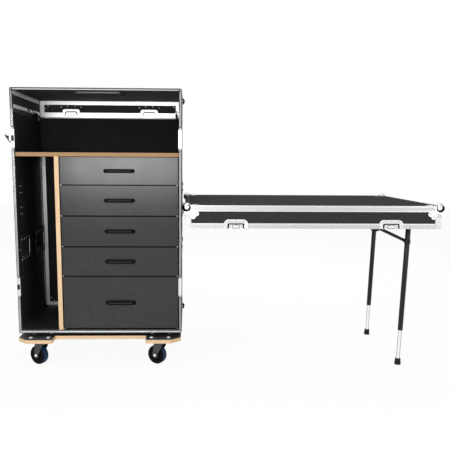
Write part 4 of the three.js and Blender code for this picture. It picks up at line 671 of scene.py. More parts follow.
class ROADCASE_OT_finishes(bpy.types.Operator):
    """Makes the shared node groups and every finish, and gives the kept CAD nodes theirs"""

    bl_idname = "roadcase.finishes"
    bl_label = "Finishes"

    def execute(self, context):
        for build in (build_grain_group, build_scuff_group, build_pebble_group, build_ply_group):
            build()
        c = context.scene.road_case_colours
        pale = times(c.pale_laminate, 1.3)
        coated_finish("Laminate", c.laminate, c.laminate_worn, (0.55, 0.7), 520.0, gloss=0.06)
        coated_finish("Lid laminate", c.pale_laminate, pale, (0.55, 0.7), 520.0, gloss=0.08)
        coated_finish("Table laminate", c.pale_laminate, pale, (0.9, 1.0), 520.0, gloss=0.005)
        clouds = {"wear": 0.8, "strength": 0.04, "gloss": 0.5, "stretch": (0.4, 1, 1), "cloud": 9.0}
        coated_finish("Drawer face", c.drawer, c.drawer_pale, (0.15, 0.26), 900.0, **clouds)
        coated_finish("Black steel", c.steel, times(c.steel, 3), (0.28, 0.4), 1400.0, 0.25, 0.1, 0.3)
        coated_finish("Black plastic", c.steel, times(c.steel, 2), (0.45, 0.6), 1100.0, 0.2, 0.15, 0.03)
        # painted highlight of the bow pulls
        coated_finish("Pull highlight plastic", c.pull_highlight_colour, c.pull_highlight_colour, (0.4, 0.5), 1100.0, 0.2, 0.15, 0.1)
        coated_finish("Rubber", c.rubber, times(c.rubber, 3), (0.6, 0.75), 700.0, 0.4, 0.3, 0.2)
        coated_finish("Blue tyre", c.tyre, times(c.tyre, 2), (0.42, 0.6), 800.0, 0.5, 0.15, 0.15)
        # every metal here gets painted shade and dark reflection where its face turns away from the eye
        for name, colour, rough, scale in (
            ("Aluminium", c.aluminium, (0.4, 0.5), 140.0),
            ("Rim aluminium", c.rim, (0.45, 0.55), 140.0),
            ("Bright aluminium", c.bright, (0.18, 0.28), 140.0),
            ("Edge shade aluminium", c.worn_and_edge_shade, (0.3, 0.42), 140.0),
            ("Zinc plate", c.zinc, (0.25, 0.42), 300.0),
            ("Bright zinc", c.bright, (0.25, 0.42), 300.0),
            ("Rivet steel", c.rivet, (0.25, 0.4), 300.0),
            ("Caster steel", c.caster_steel, (0.3, 0.45), 300.0),
        ):
            metal_finish(name, colour, times(colour, 0.8), rough, scale, rim=(0.62, 0.84), dark=c.shade)
        pale = times(c.matt, 0.9)
        # painted shade on the inner angles where they are seen along their face, as in the floor's crease
        edge = {"rim": (0.5, 0.7), "dark": c.shade}
        metal_finish("Matt aluminium", c.matt, pale, (0.3, 0.4), 140.0, metallic=0.95, **edge)
        metal_finish("Wall aluminium", c.matt, pale, (0.45, 0.55), 140.0, metallic=0.35)
        # chrome turns to a painted dark reflection towards its outline: a dark ring round the balls and dark
        # edges along the tubes
        for name, rim in (("Chrome ball", (0.06, 0.16)), ("Chrome tube", (0.25, 0.6))):
            edge = {"rim": rim, "dark": c.painted_chrome_rim_shade, "glossy": True}
            metal_finish(name, c.chrome, c.chrome, (0.06, 0.12), 120.0, 0.2, 0.02, **edge)
        board_finish("Shelf board", (0, 0, 1), (1, 1, 20), c.ply_light, c.ply_dark, c)
        board_finish("Wheeled board", (0, 0, 1), (1, 1, 20), c.birch_light, c.birch_dark, c)
        board_finish("Upright board", (1, 0, 0), (20, 1, 1), c.birch_light, c.birch_dark, c)
        ply_finish("Birch ply", (0, 1, 0), (4, 0.6, 4), c.birch_light, c.birch_dark)
        for finish, names in KEPT_NODES.items():
            for slot in [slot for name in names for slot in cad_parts[name].material_slots]:
                slot.link = "OBJECT"
                slot.material = bpy.data.materials[finish]
        return {"FINISHED"}


class ROADCASE_OT_rivets(bpy.types.Operator):
    """Rows of rivets along the rims and angles of the case, the lid and the table"""

    bl_idname = "roadcase.rivets"
    bl_label = "Rivets"

    def execute(self, context):
        head = rivet(context.scene.road_case_sizes.rivet_radius / MILLIMETRE)
        mid = ANGLE_LEG / 2

        def line(start, end, count, face):
            return repeated(head, row(start, end, count), face)

        case, lid, table = [], [], []
        for side, face in SIDES:
            x, inner = side * X_OUT, side * (X_WALL - 1.2)
            inward = "right" if side == LEFT else "left"
            for low, high in ((230, 365), (480, 740), (1010, 1120), (1240, 1305)):
                case.append(line((x, mid, low), (x, mid, high), 1 + int((high - low) / 95), face))
            rear = CASE_DEPTH - mid
            case.append(line((x, rear, 230), (x, rear, 1290), 10, face))
            case.append(line((x, 90, Z_BASE + mid), (x, 450, Z_BASE + mid), 4, face))
            case.append(line((x, 60, Z_SEAM - mid), (x, 480, Z_SEAM - mid), 5, face))
            lid.append(line((x, 60, Z_SEAM + mid), (x, 480, Z_SEAM + mid), 5, face))
            lid.append(line((x, 90, Z_TOP - mid), (x, 450, Z_TOP - mid), 4, face))
            lid.append(line((x, mid, 1360), (x, mid, 1395), 2, face))
            lid.append(line((inner, 60, Z_CEILING - 12), (inner, 480, Z_CEILING - 12), 5, inward))
        for side in (LEFT, RIGHT):
            x = side * (X_OUT - mid)
            case.append(line((x, CASE_DEPTH, 240), (x, CASE_DEPTH, 1290), 10, "rear"))
            lid.append(line((x, 90, Z_TOP), (x, 450, Z_TOP), 4, "top"))
        for z, heads in ((Z_BASE + mid, case), (Z_SEAM - mid, case), (Z_SEAM + mid, lid), (Z_TOP - mid, lid)):
            for start, end in ((-340, -290), (-170, 170), (290, 340)):
                heads.append(line((start, CASE_DEPTH, z), (end, CASE_DEPTH, z), 2, "rear"))
        for y in (mid, CASE_DEPTH - mid):
            lid.append(line((-350, y, Z_TOP), (350, y, Z_TOP), 7, "top"))
            case.append(line((-350, y, Z_BASE), (350, y, Z_BASE), 5, "under"))
        left, right, top, low = TABLE_LEFT, TABLE_RIGHT, TABLE_TOP, TABLE_LOW + 13
        for y, face in TABLE_SIDES:
            for x in TABLE_CORNER_XS:
                table.append(repeated(head, [(x, y, top - 76), (x, y, top - 97.5)], face))
            for start, end in ((left + 60, 590), (790, 1350), (1550, right - 60)):
                table.append(line((start, y, low), (end, y, low), 2 + int((end - start) / 200), face))
        for x, face in TABLE_ENDS:
            for z in (top - mid, low):
                table.append(line((x, TABLE_FRONT + 90, z), (x, TABLE_REAR - 90, z), 6, face))
        for y in (TABLE_FRONT + mid, TABLE_REAR - mid):
            table.append(line((left + 100, y, top), (right - 100, y, top), 9, "top"))
        for x in (left + mid, right - mid):
            table.append(line((x, TABLE_FRONT + 100, top), (x, TABLE_REAR - 100, top), 6, "top"))
        for body, heads in (("case", case), ("lid", lid), ("table", table)):
            make(f"{body}_rivets", heads, "Rivet steel", body)
        return {"FINISHED"}


def upright(side, ends, inset, width, high=0.5):
    """A flat bead up the front of a rim."""
    x = side * (X_OUT - inset)
    return strip((x, 0, ends[0]), (x, 0, ends[1]), ALONG, FRONT, width, -0.2, high)


def level(z, width, high=0.5):
    """A flat bead across the front of a rim."""
    return strip((3 - X_OUT, 0, z), (X_OUT - 3, 0, z), UP, FRONT, width, -0.2, high)


class ROADCASE_OT_edges(bpy.types.Operator):
    """Raised strips on the extrusions: bright ones along the bands, painted as the highlights of their rounded
    edges, and dark ones painted as shade on the rims' outer edges, along their inner edges and at the latches'
    windows
    """

    bl_idname = "roadcase.edges"
    bl_label = "Edge beads"

    def execute(self, context):
        high, low = LATCH_HEIGHTS
        spans = [("case", Z_BASE + 3, low - LATCH_WINDOW), ("case", low + LATCH_WINDOW, high - LATCH_WINDOW)]
        spans += [("case", high + LATCH_WINDOW, Z_SEAM - 1), ("lid", Z_SEAM + 1, Z_TOP - 3)]
        bright, worn_and_edge_shade, dark = [], {"case": [], "lid": []}, {"case": [], "lid": []}
        for side in (LEFT, RIGHT):
            for body, *ends in spans:
                # painted shade: dark strips and bars along the rims' outer edges
                worn_and_edge_shade[body].append(upright(side, ends, 6.6, 1.8))
                if side == LEFT and body == "case":
                    # painted highlights: bright strips on the left rim where its rounded ridges catch the light
                    bright += [upright(side, ends, inset, 2.6, 0.7) for inset in (4.0, 9.2)]
                if side == LEFT:
                    worn_and_edge_shade[body].append(upright(side, ends, *LEFT_BEADS[body]))
                # painted shade: a black line along the rim's inner edge, where it meets the inside of the case
                dark[body].append(upright(side, ends, *DARK_LINES[body]))
                edge = side * (X_OUT - 0.6)
                worn_and_edge_shade[body].append(bar((edge, 0.6, ends[0]), (edge, 0.6, ends[1]), 1.5, 0.4, 16))
            for body, z in (("case", Z_BASE + 0.6), ("lid", Z_TOP - 0.6)):
                worn_and_edge_shade[body].append(bar((side * X_OUT, 20, z), (side * X_OUT, CASE_DEPTH - 30, z), 1.5, 0.4, 16))
            for z in LATCH_HEIGHTS:
                for end in (z - LATCH_WINDOW, z + LATCH_WINDOW):
                    places = ((side * (X_OUT - 1), 0, end), (side * (X_OUT - 11), 0, end))
                    # painted shade: black strips at the ends of the window that a latch takes out of the rim
                    dark["case"].append(strip(*places, UP, FRONT, 4.4, -0.2, 0.9))
        for body, z, step in (("case", Z_BASE, 1), ("lid", Z_TOP, -1)):
            line = z + 0.8 * step
            # painted shade: dark bars along the lower and upper outer edges of the rims
            worn_and_edge_shade[body].append(bar((3 - X_OUT, 0.6, line), (X_OUT - 3, 0.6, line), 2.0, 0.5, 16))
            if body == "case":
                # painted highlight along the case's lower band
                bright.append(level(z + 7.5, 5, 0.7))
            else:
                worn_and_edge_shade[body].append(level(z - 2.6, 4.6, 0.7))
            dark[body].append(level(z + 12.4, 2.2) if body == "case" else level(z - 11.6, 3.8))
            ends = ((45 - X_OUT, CASE_DEPTH, z + 0.6 * step), (X_OUT - 45, CASE_DEPTH, z + 0.6 * step))
            worn_and_edge_shade[body].append(bar(*ends, 1.5, 0.4, 16))
        table = []
        # painted highlights: bright strips for the light caught by the rounded edges of the table's bands
        bands = ((TABLE_TOP - 4.5, 7), (TABLE_TOP - 26.5, 5.5), (TABLE_LOW + 21.5, 7))
        for y, face in TABLE_SIDES:
            out = FACES[face][2]
            for z, width in bands:
                ends = ((TABLE_LEFT + 32, y, z), (TABLE_RIGHT - 32, y, z))
                table.append(strip(*ends, UP, out, width, -0.2, 0.7))
            for x in TABLE_CORNER_XS:
                table.append(strip((x, y, TABLE_LOW + 3), (x, y, TABLE_TOP - 60), ALONG, out, 21, -0.2, 0.5))
        for x, face in TABLE_ENDS:
            for z, width in bands:
                ends = ((x, TABLE_FRONT + 32, z), (x, TABLE_REAR - 32, z))
                table.append(strip(*ends, UP, FACES[face][2], width, -0.2, 0.7))
        for body in ("case", "lid"):
            make(f"{body}_edge_shade_beads", worn_and_edge_shade[body], "Edge shade aluminium", body)
            make(f"{body}_rim_shade_lines", dark[body], "Black plastic", body)
        make("case_highlight_beads", bright, "Bright aluminium", "case")
        make("table_highlight_beads", table, "Bright aluminium", "table")
        return {"FINISHED"}


class ROADCASE_OT_inside(bpy.types.Operator):
    """Inside of the case: rivet ends, the pressed edges of the grips' dishes, latch backs and their rivets"""

    bl_idname = "roadcase.inside"
    bl_label = "Inside"

    def execute(self, context):
        ends, edges, backs = [], [], []
        for side, face in ((LEFT, "right"), (RIGHT, "left")):
            wall, pan = side * X_WALL, side * (X_WALL - 8.2)
            for y in GRIP_YS:
                places = [(pan, y + a, GRIP_Z + b) for a in (-68, -23, 23, 66) for b in (-52.5, 52.5)]
                places += [(wall, y + a, GRIP_Z) for a in (-78, 78)]
                ends.append(repeated(rivet(4.2, 1.8), places, face))
                corners = [(pan, y + a, GRIP_Z + b) for a, b in ((69, 40), (69, -39), (-58, -39))]
                edges.append(carried(bent(corners, 16, 7), circle(2.1, 12), (side, 0, 0)))
            for z in LATCH_HEIGHTS:
                back = plate(rounded(69, 88, 5, 5, (36.5, 0)), -0.2, 0.5, 0.3)
                backs.append(placed(back, (side * LATCH_BACK, 0, z), FACES[face]))
                places = [(side * (LATCH_BACK - 0.5), 52, z + b) for b in (-39, -25, -9, 6, 24, 39)]
                backs.append(repeated(rivet(3.4, 1.6), places, face))
            places = [(wall, y, z) for z in (794, 828, 905, 939) for y in (73, 101)]
            ends.append(repeated(rivet(3.4, 1.6), places, face))
        ends.append(repeated(rivet(3.2, 1.4), [(-380, Y_WALL - 0.1, 235), (-364, Y_WALL - 0.1, 218)], "front"))
        make("rivet_ends", ends, "Zinc plate", "case")
        make("dish_edges", edges, "Zinc plate", "case")
        make("latch_backs", backs, "Laminate", "case")
        return {"FINISHED"}


class ROADCASE_OT_corners(bpy.types.Operator):
    """Ball corners with their eared plates on the case, the lid and the table"""

    bl_idname = "roadcase.corners"
    bl_label = "Ball corners"

    def execute(self, context):
        radius = context.scene.road_case_sizes.ball_radius / MILLIMETRE
        groups = {
            "case": [((s * X_OUT, CASE_DEPTH, Z_BASE), (-s, -1, 1)) for s in (LEFT, RIGHT)],
            "lid": [((s * X_OUT, CASE_DEPTH, Z_TOP), (-s, -1, -1)) for s in (LEFT, RIGHT)],
            "table": [
                ((x, y, TABLE_TOP), (sx, sy, -1))
                for x, sx in ((TABLE_LEFT, 1), (TABLE_RIGHT, -1))
                for y, sy in ((TABLE_FRONT, 1), (TABLE_REAR, -1))
            ],
        }
        for body, corners in groups.items():
            balls, plates, heads = [], [], []
            for corner, inward in corners:
                balls.append(ball_corner(corner, inward, radius, TABLE_BALL_DROP if body == "table" else 0.0))
                unit = np.diag(inward).astype(float)
                for k in range(3):
                    u, v, out = unit[(k + 1) % 3], unit[(k + 2) % 3], -unit[k]
                    plates.append(corner_leaf(corner, u, v, out))
                    for a, b in EARS:
                        place = np.asarray(corner) + a * u + b * v + 1.5 * out
                        heads.append(placed(rivet(), place, (u, v, out)))
            make(f"{body}_corner_balls", balls, "Chrome ball", body)
            make(f"{body}_corner_plates", plates, "Bright zinc", body)
            make(f"{body}_corner_rivets", heads, "Rivet steel", body)
        return {"FINISHED"}


class ROADCASE_OT_drawers(bpy.types.Operator):
    """Drawer fronts with eased edges and dark strips painted as the shade of the gaps between them, bow pulls,
    and the runners' tips between the fronts
    """

    bl_idname = "roadcase.drawers"
    bl_label = "Drawer fronts"

    def execute(self, context):
        reach = context.scene.road_case_sizes.pull_length / MILLIMETRE / 2 - 8
        high, tips = DRAWERS_TOP, []
        x = (FRONT_LEFT + FRONT_RIGHT) / 2
        corners = [(-reach, FRONT_FACE), (-reach, PULL_PLANE), (reach, PULL_PLANE), (reach, FRONT_FACE)]
        grip = carried(bent([(a, b, 0) for a, b in corners], 13, 8), rounded(20, 6, 2.6, 5), UP)
        foot = turned([(10.5, 0), (10.5, 1.2), (9.3, 2.4)], 28)
        feet = [placed(foot, (s * reach, FRONT_FACE, 0), FACES["front"]) for s in (LEFT, RIGHT)]
        for number, height in enumerate(DRAWER_HEIGHTS, start=1):
            drawer, z = f"drawer_{number}", high - height / 2
            high -= height
            outline = rounded(FRONT_RIGHT - FRONT_LEFT, height - DRAWER_GAP, 1.5, 4, (x, z))
            face = placed(plate(outline, 0, FRONT_BACK - FRONT_FACE, 1.4), (0, FRONT_BACK, 0), FACES["front"])
            make(f"{drawer}_face", [face], "Drawer face", drawer, [f"{drawer}_front"])
            pieces = [placed(shape, (x, 0, z), FACES["top"]) for shape in (grip, *feet)]
            make(f"{drawer}_pull", pieces, "Black plastic", drawer)
            # painted highlight: a grey strip along the front of the pull's bar
            ends = ((x - reach + 9, PULL_PLANE - 3, z), (x + reach - 9, PULL_PLANE - 3, z))
            line = strip(*ends, UP, FRONT, 2, -0.3, 0.3)
            make(f"{drawer}_pull_highlight_strip", [line], "Pull highlight plastic", drawer)
            gap_shades = self.gap_shades(number, z, (height - DRAWER_GAP) / 2)
            make(f"{drawer}_gap_shade", gap_shades, "Black plastic", drawer)
            for place in (FRONT_LEFT + 1, FRONT_RIGHT - 7):
                ends = ((place, FRONT_FACE, high), (place + 6, FRONT_FACE, high))
                tips.append(strip(*ends, UP, FRONT, 2.6, -8, 0.6))
        make("runner_tips", tips, "Bright zinc", "case")
        return {"FINISHED"}

    def gap_shades(self, number, z, half):
        """A dark strip on a front's top painted as the shade under the gap above it, and a dark lip under the
        front that fills the gap to the next front with painted shade.
        """
        left, right = FRONT_LEFT + 10, FRONT_RIGHT - 10
        shapes = []
        if number > 1:
            width = 1.4 if number == 2 else 3.2
            line = z + half - width / 2 - 0.2
            ends = ((left, FRONT_FACE, line), (right, FRONT_FACE, line))
            shapes.append(strip(*ends, UP, FRONT, width, -0.2, 0.25))
        if number < len(DRAWER_HEIGHTS):
            line = z - half - 1.0
            shapes.append(strip((left, 26, line), (right, 26, line), UP, FRONT, 2.4, 0, 3))
        return shapes


class ROADCASE_OT_casters(bpy.types.Operator):
    """Casters: top plate with race and bolts, pressed fork with axle, blue tyre on a dark core"""

    bl_idname = "roadcase.casters"
    bl_label = "Casters"

    def execute(self, context):
        shoulder = context.scene.road_case_sizes.tyre_round / MILLIMETRE
        turn = math.radians(CASTER_TURN)
        fork_axes = ((math.cos(turn), math.sin(turn), 0), (-math.sin(turn), math.cos(turn), 0), UP)
        half, radius, tread = 15.4, 50.2, 46.0
        t = np.radians(np.linspace(0, 90, 6))
        arc = [(radius - shoulder * (1 - np.cos(a)), half - shoulder * (1 - np.sin(a))) for a in t]
        tyre_loop = [(tread, -half), *[(r, -h) for r, h in arc[::-1]], (radius + 0.5, 0), *arc, (tread, half)]
        core_half = [
            (48.8, 14.8), (48.3, 16.4), (45, 18), (34, 17), (30, 13),
            (16, 11), (13, 12), (13, 18), (12, 19), (6, 19),
        ]
        core = [(r, -h) for r, h in core_half[::-1]] + core_half
        wheel_x, _, wheel_z = WHEEL_SEAT
        turns = np.radians(np.linspace(168, 372, 16))
        foot = [(wheel_x + 15 * math.cos(a), wheel_z + 15 * math.sin(a)) for a in turns]
        outline = [(-23, 116), (-23, 111), (-21.5, 104), (6, 56), *foot, (27.5, 104), (29, 111), (29, 116)]
        wall = plate(np.asarray(outline, float)[::-1], 0, FORK_OUTER - FORK_INNER, 0.6)
        boss = turned([(12.5, -0.2), (12.5, 0.7), (11.8, 1.1)], 28)
        spoke = plate(rounded(11, 3, 1.2, 4), -13.6, 13.6, 0.5)
        crown = plate(rounded(52, 47, 8, 6, (3, 0)), 111.5, 116.2, 1.6)
        dome = turned([(27, 115.5), (27, 118), (25.5, 121), (22, 123), (8, 123.6)], 40)
        axle = bar((wheel_x, -24, wheel_z), (wheel_x, 24, wheel_z), 5, 0.5)
        top_shapes = [
            plate(rounded(110, 100, 9, 6), PLATE_LOW, BOARD_LOW - 0.3, 0.8),
            turned([(25, 120.5), (28.5, 122), (30, 126), (30, 130), (27, 134), (22, 134)], 40),
            turned([(6, 119), (9, 119), (9, 114), (7, 112.5)], 24),
        ]
        bolt_end = turned([(7.5, 0), (7.2, 1.6), (5.5, 3), (2, 3.8)], 24)
        for number, (x, y) in enumerate(CASTER_PLACES, start=1):

            def local(shape, here=(x, y, 0)):
                return placed(shape, here, fork_axes)

            def wheel(shape, local=local):
                return local(placed(shape, WHEEL_SEAT, FACES["rear"]))

            caster = f"caster_{number}"
            roller, swivel = f"{caster}_roller", f"{caster}_swivel"
            spokes, sides, nuts = [], [], []
            for a in np.radians(np.arange(0, 360, 45)):
                out = (math.cos(a), math.sin(a), 0)
                place = (22.5 * out[0], 22.5 * out[1], 0)
                spokes.append(wheel(placed(spoke, place, (out, (-out[1], out[0], 0), UP))))
            for s, face in ((LEFT, "front"), (RIGHT, "rear")):
                hub = (wheel_x, s * FORK_OUTER, wheel_z)
                sides.append(local(placed(wall, (0, s * FORK_INNER, 0), FACES[face])))
                sides.append(local(placed(boss, hub, FACES[face])))
                nuts += [local(placed(shape, hub, FACES[face])) for shape in hex_nut(17, 5)]
            top = [placed(shape, (x, y, 0), FACES["top"]) for shape in top_shapes]
            bolts = []
            for sx in (-0.5, 0.5):
                for sy in (-0.5, 0.5):
                    place = np.array([x + sx * BOLT_PITCH[0], y + sy * BOLT_PITCH[1], BOARD_TOP + 0.2])
                    bolts.append(placed(washer(13, 2), place, FACES["top"]))
                    bolts.append(placed(rivet(9.5, 3.4), place + (0, 0, 1.9), FACES["top"]))
                    top.append(placed(bolt_end, (place[0], place[1], PLATE_LOW), FACES["under"]))
            tyre = wheel(turned(tyre_loop, 48, True))
            make(f"{caster}_tyre", [tyre], "Blue tyre", roller, [f"{caster}_wheel"])
            hub = wheel(turned(core, 40, True))
            make(f"{caster}_core", [hub, *spokes], "Black plastic", roller)
            steel = [*sides, local(crown), local(dome)]
            make(f"{caster}_fork_steel", steel, "Caster steel", swivel, [f"{caster}_fork"])
            make(f"{caster}_axle", [local(axle), *nuts], "Bright zinc", swivel)
            make(f"{caster}_top_plate", top, "Caster steel", "case", [f"{caster}_plate"])
            make(f"{caster}_bolts", bolts, "Bright zinc", "case")
        return {"FINISHED"}


def open_wings(seat, side):
    """A black wing plate that leans out of its dish with its hooked edge, and a bright web."""
    axes = ((side, 0, 0), UP, (0, 1, 0))
    outline = np.array([(55, 16), (47, 14), (37, 12), (36.5, -10), (31, -18), (38, -14), (47, 1)], float)
    wing = plate(outline[::-1], -1.9, 1.9, 0.8)
    path = bent([(54, 21, 0), (57, 15, 0), (34, -17, 0), (28, -19, 0), (17, -15, 0)], 5, 6)
    hook = carried(path, circle(2.3, 12), UP)
    web = plate(rounded(24, 24, 2, 4, (25, 0)), -1.2, 1.2, 0.4)
    return [placed(shape, seat, axes) for shape in (wing, hook, web)]


def folded_wings(seat, axes):
    """Two wings folded flat on the cam: half discs stretched to 53 mm, with a thumb hollow's rim on each."""
    shapes = []
    for s in (LEFT, RIGHT):
        t = np.radians(np.linspace(-90, 90, 21))
        outline = np.column_stack([s * (1.5 + 25 * np.cos(t)), 17 * np.sin(t)])
        shapes.append(plate(outline[::s], 3.4, 7.6, 0.9))
        t = np.radians(np.linspace(-70, 70, 15))
        rim = lifted(np.column_stack([s * (5 + 16.5 * np.cos(t)), 12 * np.sin(t)]), 7.5)
        shapes.append(carried(rim, circle(1.1, 10), UP))
    shapes.append(bar((0, -15, 5.6), (0, 15, 5.6), 2.2, 0.5))
    return [placed(shape, seat, axes) for shape in shapes]


class ROADCASE_OT_latches(bpy.types.Operator):
    """Twist latches: a cam and wings in each dish, with one wing folded out, and the left latches' catches"""

    bl_idname = "roadcase.latches"
    bl_label = "Latches"

    def execute(self, context):
        fixed, number = [], 0
        bead = [(77, 96, 8, 34.5, -0.3), (76, 95, 8, 34.5, 0.6)]
        bead += [(73.4, 91.5, 7, 34, 0.6), (72.6, 90.5, 7, 34, -0.3)]
        bead = loft([lifted(rounded(w, h, r, 6, (middle, 0)), z) for w, h, r, middle, z in bead], True)
        for side, face in SIDES:
            axes = FACES[face]
            for z in LATCH_HEIGHTS:
                number += 1
                seat = (side * LATCH_SEAT[0], LATCH_SEAT[1], z)
                turner = [
                    placed(turned([(15, 0), (15, 2), (14, 3), (9, 3.4), (9, 5), (5, 5.6)], 36), seat, axes),
                    placed(turned([(11.5, 3), (11.5, 3.9), (10.7, 4.3)], 32), seat, axes),
                ]
                body = f"latch_{number}_turner"
                if number == OPEN_LATCH:
                    *black, web = open_wings(seat, side)
                    turner += black
                    make(f"latch_{number}_web", [web], "Bright zinc", body)
                else:
                    turner += folded_wings(seat, axes)
                make(body, turner, "Black steel", body, [f"latch_{number}_handle"])
                for y, up in LATCH_RIVETS:
                    fixed.append(repeated(rivet(3.0, 1.1), [(side * X_OUT, y, z + up)], face))
                fixed.append(placed(bead, (side * X_OUT, 0, z), axes))
        catch = plate(rounded(13, 28, 2), -4.0, 1.2, 0.8)
        catches = [placed(catch, (6.3 - X_OUT, 0, z), FACES["front"]) for z in LATCH_HEIGHTS]
        make("latch_rivets", fixed, "Zinc plate", "case")
        make("latch_catches", catches, "Black steel", "case")
        return {"FINISHED"}


class ROADCASE_OT_grips(bpy.types.Operator):
    """Lifting grips: a pressed dish over each pan, and a sprung bail with a rubber cover"""

    bl_idname = "roadcase.grips"
    bl_label = "Lifting grips"

    def execute(self, context):
        cover = context.scene.road_case_sizes.grip_cover / MILLIMETRE
        half = cover / 2
        t = np.linspace(-half, half, 37)
        ribs = 10.4 + 0.5 * np.cos(2 * np.pi * t / (cover / 9))
        ribs[[0, -1]] = 8.5
        sleeve = turned(list(zip(ribs, t + half)), 28)
        dish = pressed(GRIP_DISH)
        lug = plate(rounded(14, 20, 4, 5), -18, -8, 1.0)
        pivot, low = GRIP_Z + GRIP_PIVOT, GRIP_Z + GRIP_PIVOT - GRIP_DROP
        dishes, number = [], 0
        for side, face in SIDES:
            for y in GRIP_YS:
                number += 1
                dishes.append(placed(dish, (side * X_OUT, y, GRIP_Z), FACES[face]))
                places = [(side * (X_OUT + 0.9), y + a, GRIP_Z + b) for a, b in GRIP_RIVETS]
                dishes.append(repeated(rivet(2.6, 1.0), places, face))
                dishes += [placed(lug, (side * X_OUT, y + off, pivot), FACES[face]) for off in (-62, 62)]
                x = side * (X_OUT - 6)
                corners = [(-73, pivot), (-52, pivot), (-52, low), (52, low), (52, pivot), (73, pivot)]
                path = bent([(x, y + off, z) for off, z in corners], 9, 7)
                rod = carried(path, circle(4.1, 16), (side, 0, 0))
                grip = f"grip_{number}"
                make(f"{grip}_rod", [rod], "Zinc plate", grip, [f"{grip}_bail"])
                rubber = along(sleeve, (x, y - half, low), (x, y + half, low))
                make(f"{grip}_cover", [rubber], "Rubber", grip)
        make("grip_dishes", dishes, "Zinc plate", "case")
        return {"FINISHED"}


class ROADCASE_OT_lid_fittings(bpy.types.Operator):
    """Fittings of the lid: gas struts, backs of the hinge dishes, the blank dish in its top and inner strips"""

    bl_idname = "roadcase.lid_fittings"
    bl_label = "Lid fittings"

    def execute(self, context):
        self.struts()
        self.hinges()
        self.strips()
        fitted = [placed(pressed(TOP_DISH), (0, TOP_DISH_Y, Z_TOP), FACES["top"])]
        places = [(a, TOP_DISH_Y + b, Z_TOP + 0.9) for a in (-100, -33, 33, 100) for b in (-88, 88)]
        places += [(a, TOP_DISH_Y + b, Z_TOP + 0.9) for a in (-123, 123) for b in (-45, 0, 45)]
        fitted.append(repeated(rivet(), places, "top"))
        make("lid_top_dish", fitted, "Zinc plate", "lid")
        under = plate(rounded(236, 166, 14, 7), 0.2, 9.8, 3.0)
        back = placed(under, (0, TOP_DISH_Y, Z_CEILING), FACES["under"])
        make("top_dish_back", [back], "Caster steel", "lid")
        return {"FINISHED"}

    def struts(self):
        """Gas struts with an eye at each end: the barrel from the body's stud, the rod to the lid's stud."""
        span = STRUT_LID - STRUT_BODY
        length = float(np.linalg.norm(span))
        ring = turned([(3.6, -4), (6.2, -4), (6.6, -3.4), (6.6, 3.4), (6.2, 4), (3.6, 4)], 28, True)
        barrel = [(3.2, 6), (3.2, 11), (6.6, 12), (7.6, 13.5), (7.6, 139), (7.0, 141), (6.2, 142), (3.3, 142)]
        rod = [(3.0, 60), (3.0, length - 6), (3.0, length - 5.8)]
        for number, side in ((1, LEFT), (2, RIGHT)):
            low, high = ((side * STRUT_X, *(STRUT_BODY + span / length * d)) for d in (0, length))
            axes = ((0, 1, 0), UP, (side, 0, 0))
            tube, piston = along(turned(barrel, 32), low, high), along(turned(rod, 20), low, high)
            strut = f"strut_{number}"
            make(f"{strut}_barrel_tube", [tube, placed(ring, low, axes)], "Black steel", f"{strut}_barrel",
                 [f"{strut}_cylinder"])
            make(f"{strut}_piston_rod", [piston, placed(ring, high, axes)], "Chrome tube", f"{strut}_piston",
                 [f"{strut}_rod"])

    def hinges(self):
        """Backs of the hinge dishes: an arched frame, a dark line, a plate with three screws, rivets above."""
        frames, lines, heads = [], [], []
        axes = FACES["front"]
        outer, inner = arch(50.5, 48, 14), arch(36, 35, 12)
        rings = [(outer, -0.5), (outer, 1.0), (shrunk(outer, 0.6), 1.8), (shrunk(inner, -0.6), 1.8)]
        rings += [(inner, -0.2), (shrunk(inner, 4.2), -0.2)]
        rings += [(shrunk(inner, 4.8), 3.0), (shrunk(inner, 6.0), 4.0)]
        groove = carried(lifted(shrunk(inner, 1.8)[1:-1], 0.6), circle(2.6, 12), UP)
        for x in HINGE_XS:
            seat = (x, HINGE_BACK, Z_SEAM + 0.4)
            frames.append(placed(stacked(rings), seat, axes))
            lines.append(placed(groove, seat, axes))
            for k in (-1, 0, 1):
                lines.append(placed(rivet(3.0, 1.2), (x + 14 * k, HINGE_BACK - 4.3, Z_SEAM + 15), axes))
            for a, b in ((-58, 60), (-21, 65), (21, 65), (58, 60)):
                heads.append(placed(rivet(3.6, 1.6), (x + a, Y_WALL - 0.1, Z_SEAM + b), axes))
        for x, z in ((-364, 1388.5), (-379.6, 1373.4), (373.9, 1386), (389.8, 1357.8)):
            heads.append(repeated(rivet(3.6, 1.6), [(x, Y_WALL - 0.1, z)], "front"))
        make("hinge_dish_backs", frames, "Bright zinc", "lid")
        make("hinge_dish_lines", lines, "Black steel", "lid")
        make("rear_panel_rivets", heads, "Bright zinc", "lid")

    def strips(self):
        """Flat strips along the corners inside the lid."""
        y = Y_WALL - 0.2
        shapes, walls = [], []
        for z, width in ((Z_CEILING - 11.5, 22), (Z_SEAM + 15, 27)):
            shapes.append(strip((-410, y, z), (410, y, z), UP, FRONT, width, -0.2, 1.4))
        for side in (LEFT, RIGHT):
            wall, x = side * X_WALL, side * 399
            shapes.append(strip((x, y, 1340), (x, y, 1400), ALONG, FRONT, 26, -0.2, 1.3))
            for z, width in ((Z_CEILING - 11, 21), (Z_SEAM + 15, 26)):
                walls.append(strip((wall, 14, z), (wall, 524, z), UP, (-side, 0, 0), width, -0.2, 1.4))
        make("lid_rear_strips", shapes, "Matt aluminium", "lid")
        make("lid_wall_strips", walls, "Wall aluminium", "lid")


